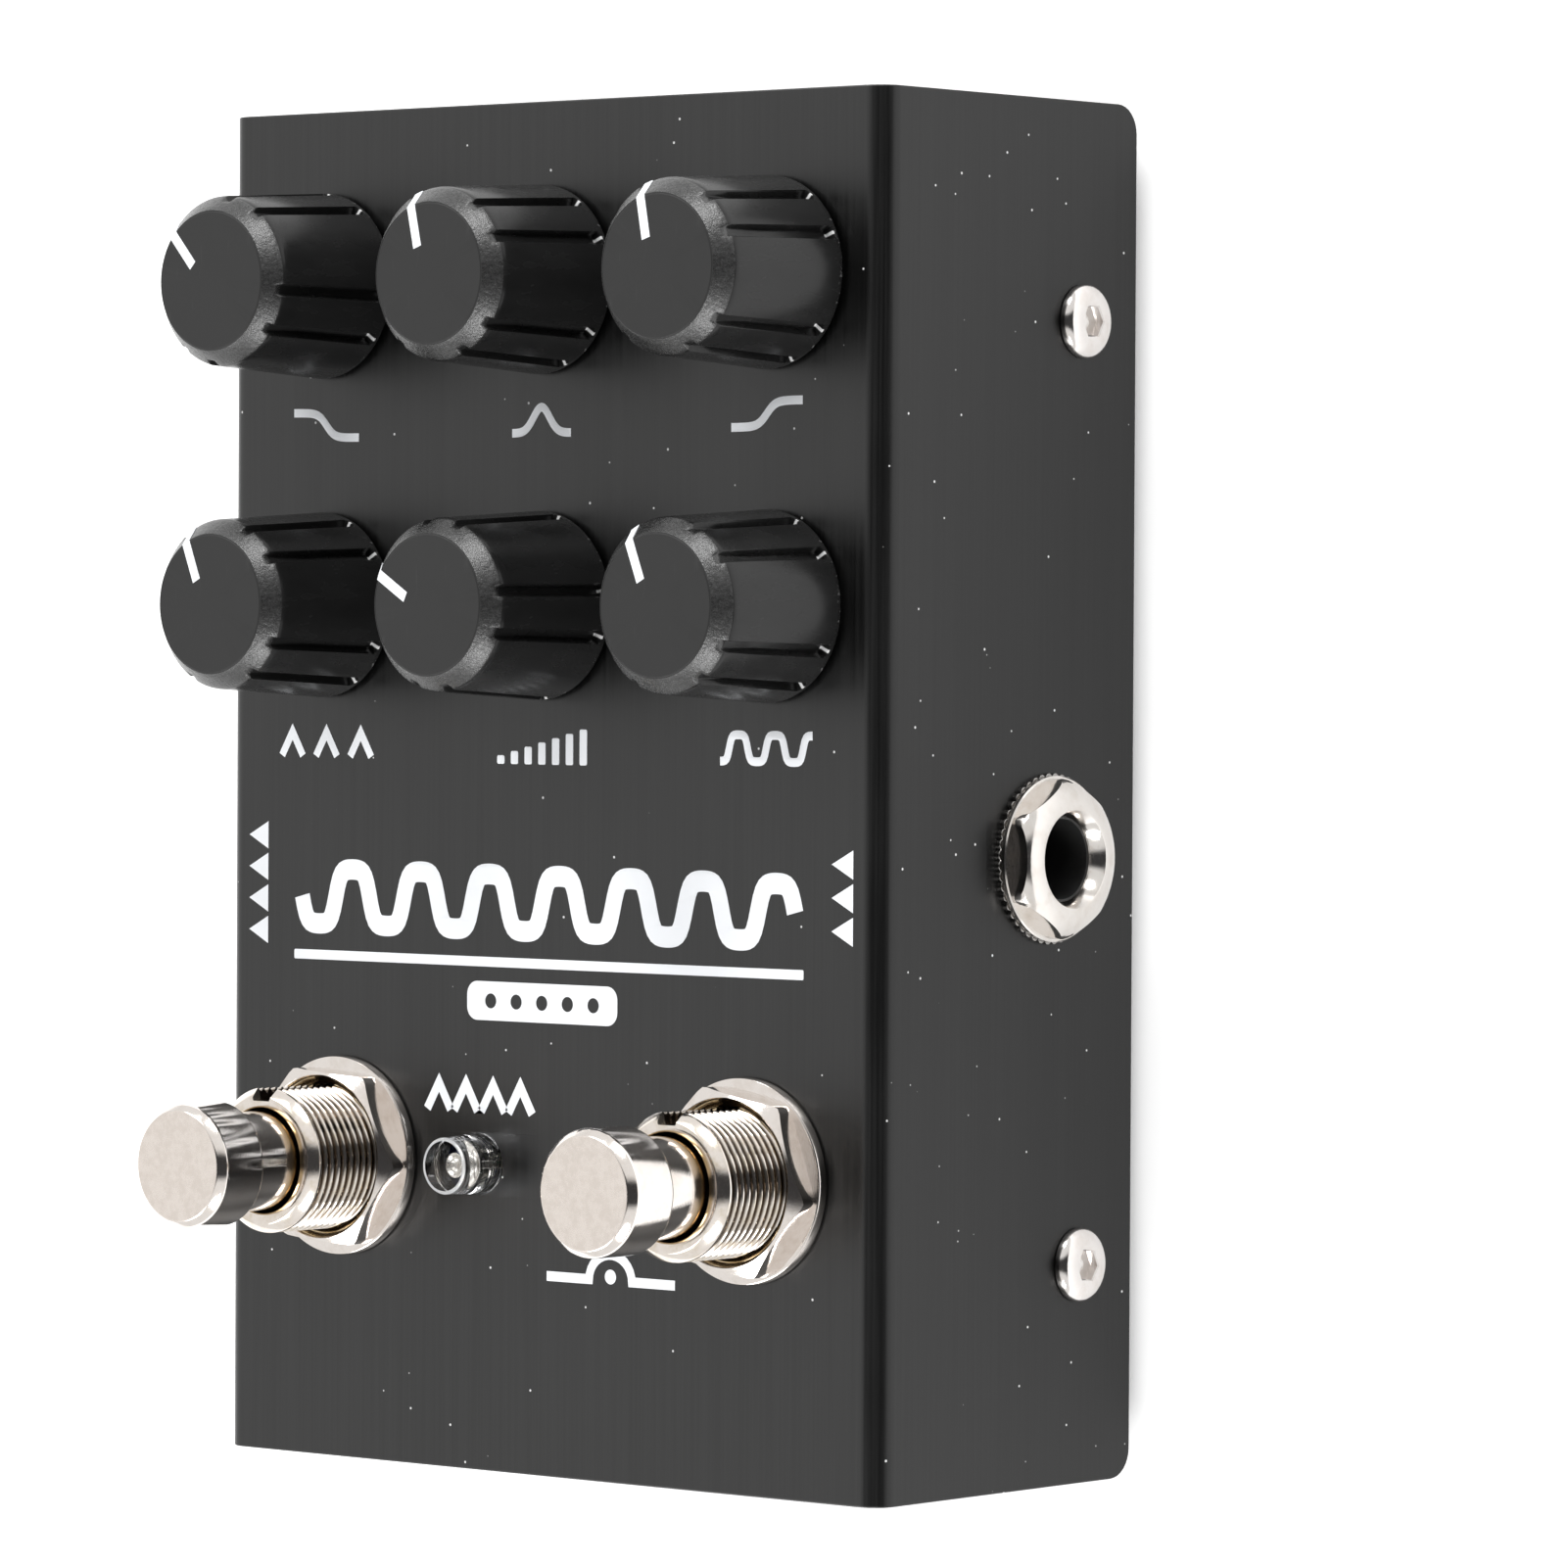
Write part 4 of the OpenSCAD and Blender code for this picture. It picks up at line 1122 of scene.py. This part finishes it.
def hex_nut(across, foot, crown, inner, turn, top_r, flange=None):
    """A nut whose walls rise from its foot to crown(radius), the height of its worn upper face.

    inner is the outline from its upper lip down the bore, and turn the angle that a flat faces.
    """
    widest = across / 2 / math.cos(TURN / 12) - 0.12 * MM
    rows = [(1, 0)] + [(0, t) for t in (0, 0.12, 0.3, 0.5, 0.75, 1)]
    start = [(r, z) for r, z in flange or []]
    outline = [*start, *rows, *inner]

    def nut(i, angle, r, z):
        i -= len(start)
        if i < 0 or i >= len(rows):
            return r, z
        wall = min(widest, hex_radius(across / 2, angle - turn))
        if rows[i][0]:
            return wall, foot
        radius = wall + (top_r - wall) * rows[i][1]
        return radius, crown(radius)

    shape = Shape()
    loops = []
    for i, (r, z) in enumerate(outline):
        loop = []
        for angle in evenly(96):
            radius, height = nut(i, angle, r, z)
            loop.append((radius * math.cos(angle), radius * math.sin(angle), height))
        loops.append(loop)
    numbers = [0] * (len(start) + len(rows)) + [1] * len(inner)
    return shape.loft(loops, numbers, closed=True)


def make_switch_nuts():
    top = WASHER_T + NUT_T
    flat_r = 6.8 * MM

    def crown(r):
        return top - max(0, r - flat_r) * math.tan(rad(30))

    inner = [(6.72 * MM, top - 0.03 * MM), (6.1 * MM, top - 0.6 * MM), (6.02 * MM, WASHER_T)]
    shape = hex_nut(14 * MM, WASHER_T, crown, inner, rad(30), flat_r)
    places = [
        upright(SWITCH_AXES[name].x, SWITCH_AXES[name].y, FACE) @ Matrix.Rotation(rad(turn), 4, "Z")
        for name, turn in (("boost", -4), ("bypass", -10))
    ]
    finishes = ["nickel", "brassy"]
    piece("switch_lock_nuts", shape, finishes, "case", ["switch_nuts"], places)


def make_switch_washers():
    outer_r = 8.3 * MM
    inner_r = 6.02 * MM
    edge = 0.2 * MM
    outline = [
        (inner_r, 0),
        (outer_r - edge, 0),
        (outer_r, edge),
        (outer_r, WASHER_T - edge * 1.5),
        (outer_r - edge * 0.4, WASHER_T - edge * 0.5),
        (outer_r - edge * 1.5, WASHER_T),
        (inner_r, WASHER_T),
    ]
    shape = turned(outline, evenly(120), closed=True)
    places = [upright(a.x, a.y, FACE) for a in SWITCH_AXES.values()]
    node = "switch_washers"
    piece("switch_face_washers", shape, "nickel", "case", [node], places)


def make_spring(name):
    """Return spring under the plunger's collar, at its full height; the button's travel is read but
    not used.
    """
    low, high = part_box(f"{name}_return_spring")
    height = high.z - low.z
    wire_r = 0.3 * MM
    coil_r = 3.4 * MM
    turns = 4.5
    count = 144
    loops = []
    for i in range(count + 1):
        along = turns * i / count
        angle = along * TURN
        climb = min(1, max(0, (along - 0.5) / (turns - 1)))
        z = wire_r + (height - 2 * wire_r) * climb
        loop = []
        for a in evenly(8):
            r = coil_r + wire_r * math.cos(a)
            loop.append((r * math.cos(angle), r * math.sin(angle), z + wire_r * math.sin(a)))
        loops.append(loop)
    shape = Shape().solid(loops)
    axis = SWITCH_AXES[name]
    place = upright(axis.x, axis.y, low.z)
    node = f"{name}_return_spring"
    spring = piece(f"{name}_button_spring", shape, "spring", "case", [node], [place])
    joint = next(j for j in frame["record"]["behaviour"]["joints"] if j["name"] == f"press_{name}")
    travel = joint["range_m"][1]
    1 - travel / height
    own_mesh(spring)


for switch_name in SWITCHES:
    make_barrel(switch_name)
    make_plunger(switch_name)
    make_spring(switch_name)
make_switch_nuts()
make_switch_washers()


# ---------------------------------------------------------------- lights


def make_light(name):
    """Clear flat-topped light, with the cup and the two posts that are cast into it."""
    low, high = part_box(f"led_{name}")
    height = high.z - low.z
    axis = LED_AXES[name]
    place = upright(axis.x, axis.y, low.z)
    lens_r = 2.45 * MM
    top_r = 2.33 * MM
    outline = softened(
        [
            (0, 0),
            (2.9 * MM, 0),
            (2.9 * MM, 1 * MM),
            (lens_r, 1 * MM),
            *((lens_r - (0.09 * MM if i % 2 else 0), (2.8 + i * 0.22) * MM) for i in range(7)),
            (top_r, height - 0.15 * MM),
            (top_r - 0.12 * MM, height, 0.04 * MM),
            (top_r - 0.24 * MM, height - 0.06 * MM, 0.04 * MM),
            (0, height - 0.06 * MM),
        ],
        0.06 * MM,
        4,
    )
    numbers = []
    for (r0, z0), (r1, z1) in zip(outline, outline[1:]):
        numbers.append(1 if z0 > height - 0.2 * MM and r1 > top_r - 0.3 * MM else 0)
    lens = turned(outline, evenly(64), numbers=numbers)
    node = f"led_{name}"
    finishes = ["resin", "resin_edge"]
    piece(f"{name}_light_lens", lens, finishes, "case", [node], [place])
    cup_z = height - 3.0 * MM
    cup = turned(
        softened(
            [
                (0, cup_z - 1.0 * MM),
                (0.6 * MM, cup_z - 1.0 * MM),
                (1.05 * MM, cup_z + 0.35 * MM),
                (0.92 * MM, cup_z + 0.4 * MM),
                (0.66 * MM, cup_z + 0.1 * MM),
                (0.56 * MM, cup_z + 0.12 * MM),
                (0.3 * MM, cup_z - 0.05 * MM),
                (0, cup_z - 0.05 * MM),
            ],
            0.04 * MM,
        ),
        evenly(40),
    )
    for x, top in ((-0.64, cup_z - 0.9 * MM), (0.64, cup_z + 0.2 * MM)):
        middle = x * MM
        loop = rounded_box(middle - 0.3 * MM, -0.25 * MM, middle + 0.3 * MM, 0.25 * MM, 0.1 * MM)
        post = flat_sheet([loop], top - 0.1 * MM, 0.05 * MM)
        post.transform(Matrix.Translation((0, 0, top)))
        cup.take(post)
    piece(f"{name}_light_cup", cup, "nickel_plain", "case", places=[place])


for light_name in SWITCHES:
    make_light(light_name)


# ---------------------------------------------------------------- jacks


JACK_PLACES = [sideways(side, COVER_HIGH.x, JACK_Y, JACK_Z) for side in (-1, 1)]
JACK_WASHER_T = 0.4 * MM


def make_jack_nuts():
    """Domed hexagon nuts on round flanges, with a cone down to the jack's mouth."""
    proud = JACK_NUT_HIGH.x - COVER_HIGH.x
    flange_top = 0.9 * MM
    across = 11.4 * MM
    corner_r = across / 2 / math.cos(TURN / 12)
    front_r = 4.2 * MM
    dome_h = proud - flange_top
    mouth_r = 3.95 * MM
    mouth = 1.4 * MM

    def crown(r):
        share = min(1, max(0, (r - front_r) / (corner_r - front_r)))
        return proud - dome_h + dome_h * math.sqrt(max(0, 1 - share * share))

    low = JACK_WASHER_T
    flange = [(4.52 * MM, low), (6.6 * MM, low), (6.7 * MM, low + 0.1 * MM)]
    flange += [(6.7 * MM, flange_top - 0.1 * MM), (6.6 * MM, flange_top)]
    inner = [(mouth_r + 0.08 * MM, proud), (mouth_r, proud - 0.05 * MM)]
    inner += [(3.4 * MM, mouth + 0.1 * MM), (3.43 * MM, mouth), (4.52 * MM, mouth)]
    shape = hex_nut(across, flange_top, crown, inner, 0, front_r, flange)
    finishes = ["jack_nickel", "jack_nickel"]
    piece("jack_lock_nuts", shape, finishes, "case", ["jack_nuts"], JACK_PLACES)


def make_jack_washers():
    """Toothed washers under the jacks' nuts, in nickel painted dark as shade."""
    teeth = 48
    rim_r = 6.9 * MM
    tooth = 0.24 * MM
    top = JACK_WASHER_T
    outline = [(4.6 * MM, 0), (rim_r, 0), (rim_r, top - 0.04 * MM), (rim_r - 0.05 * MM, top)]
    outline += [(5.6 * MM, top), (4.65 * MM, top), (4.6 * MM, top - 0.05 * MM)]

    def toothed(_, angle, r, z):
        if r < rim_r - 0.1 * MM:
            return r, z
        share = abs((angle * teeth / TURN) % 1 - 0.5) * 2
        return r - tooth * max(0, share * 1.6 - 0.6), z

    shape = turned(outline, evenly(teeth * 8), toothed, closed=True)
    node = "jack_washers"
    piece("jack_toothed_washers", shape, "toothed", "case", [node], JACK_PLACES)


make_jack_nuts()
make_jack_washers()


# ---------------------------------------------------------------- printed marks


def ribbon(points, width):
    """Outline of a line of that width through the points."""
    line = [Vector(p) for p in points]
    left, right = [], []
    for i, point in enumerate(line):
        into = (point - line[i - 1]).normalized() if i else None
        out = (line[i + 1] - point).normalized() if i + 1 < len(line) else None
        into, out = into or out, out or into
        normal = Vector((-(into + out).y, (into + out).x)).normalized()
        reach = width / 2 / max(0.5, normal.dot(Vector((-into.y, into.x))))
        left.append(tuple(point + normal * reach))
        right.append(tuple(point - normal * reach))
    return left + right[::-1]


def curve_of(height_at, half, count=40):
    """Points of a curve from -half to half across."""
    return [(half * (2 * i / count - 1), height_at(2 * i / count - 1)) for i in range(count + 1)]


def printed(name, loops, x, y):
    """Marks on the face, drawn in millimetres round (x, y)."""
    thickness = 0.03 * MM
    at = [[((x + px) * MM, (y + py) * MM) for px, py in loop] for loop in loops]
    mesh = flat_sheet(at, thickness, 0.008 * MM)
    mesh.transform(Matrix.Translation((0, 0, FACE + thickness)))
    piece(name, Shape().take(mesh), "print", "case")


def make_marks():
    """Signs in place of words: tone curves, chevrons, level bars, waves and arrows."""
    line = 0.7
    reach = 1.05
    shelf_low = curve_of(lambda t: -reach * math.tanh(4 * t), 3.7)
    shelf_high = curve_of(lambda t: reach * math.tanh(4 * t), 3.7)
    bell = curve_of(lambda t: -reach + 2 * reach * math.exp(-((t * 2.6) ** 2)), 3.2)
    clipped = curve_of(lambda t: 1.08 * math.tanh(2.4 * math.sin(t * TURN * 1.25)), 4.8, 72)
    printed("mark_low", [ribbon(shelf_low, line)], -24.35, 29.95)
    printed("mark_mid", [ribbon(bell, line)], -0.3, 30.1)
    printed("mark_high", [ribbon(shelf_high, line)], 23.7, 30.3)
    printed("mark_drive", [ribbon(clipped, line)], 23.8, 3.7)
    printed("mark_boost", [ribbon([(c - 1.2, -1.1), (c, 0.9), (c + 1.2, -1.1)], line)
                           for c in (-3.9, 0, 3.9)], -24.2, 3.5)
    bars = [rounded_box(-4.9 + i * 1.5, -1.45, -4.1 + i * 1.5, -1.45 + 0.7 + i * 0.37, 0.15, 3)
            for i in range(7)]
    printed("mark_level", bars, -0.1, 3.5)
    arrow = [(-1.1, 0), (1.1, 1.15), (1.1, -1.15)]
    for name, x, y, count in (("output", -31.95, -8.3, 4), ("input", 31.75, -8.0, 3)):
        gaps = [(i - (count - 1) / 2) * 2.65 for i in range(count)]
        printed(f"mark_{name}", [[(px, py + gap) for px, py in arrow] for gap in gaps], x, y)
    printed("mark_boost_switch", [ribbon([(c - 1.3, -1.2), (c, 1.0), (c + 1.3, -1.2)], 0.8)
                                  for c in (-4.5, -1.5, 1.5, 4.5)], -6.8, -25.3)
    arch = [(2.3 * math.cos(rad(a)), -1.0 + 2.1 * math.sin(rad(a))) for a in range(180, -1, -12)]
    round_trip = [(-6.9, -1.0), (-3.2, -1.0), *arch, (3.2, -1.0), (6.9, -1.0)]
    printed("mark_bypass_switch", [ribbon(round_trip, 0.8), circle(0, -0.7, 0.6, 24)], 7.6, -38.6)


def make_banner():
    """A band of driven wave over a rule and a row of dots, across the middle of the face."""
    half = 26.9
    cycles = 7
    drive = 2.2
    swing = 2.3

    def height_at(t):
        return swing * math.tanh(drive * math.sin(t * math.pi * cycles)) / math.tanh(drive)

    printed("banner_wave", [ribbon(curve_of(height_at, half, 240), 1.7)], 0, -9.3)
    printed("banner_rule", [rounded_box(-27.8, -0.4, 27.8, 0.4, 0.12, 3)], 0, -14.2)
    dots = [circle(x, 0, 0.62, 24) for x in (-5.6, -2.8, 0, 2.8, 5.6)]
    printed("banner_tab", [rounded_box(-8.2, -1.6, 8.2, 1.6, 1.1), *dots], 0, -17.4)


make_marks()
make_banner()


# ---------------------------------------------------------------- parts kept as they are

KEPT = {
    "zinc": ["clinch_nuts", *(f"pot_{name}" for name in KNOB_TURNS)],
    "nickel_plain": ["pot_nuts", "pot_washers", *(f"pot_shaft_{name}" for name in KNOB_TURNS)],
    "tinned": ["pot_pins", "switch_lugs", "led_leads", "dc_jack_pin", "op_amp_legs"],
    "blue_plastic": ["boost_switch_housing", "bypass_switch_housing"],
    "black_plastic": ["input_jack", "output_jack", "dc_jack"],
    "brass": ["input_jack_contacts", "output_jack_contacts", "dc_jack_spring"],
    "board": ["main_board", "switch_board"],
    "wire_red": ["board_wires"],
    "wire_grey": ["jack_wires"],
    "chip": ["op_amps"],
    "sleeve": ["electrolytic_capacitors"],
    "film_red": ["film_capacitors"],
    "resistor": ["resistors"],
}
for finish_name, nodes in KEPT.items():
    for node_name in nodes:
        materials = frame["nodes"][node_name].data.materials
        materials.clear()
        materials.append(FINISHES[finish_name])
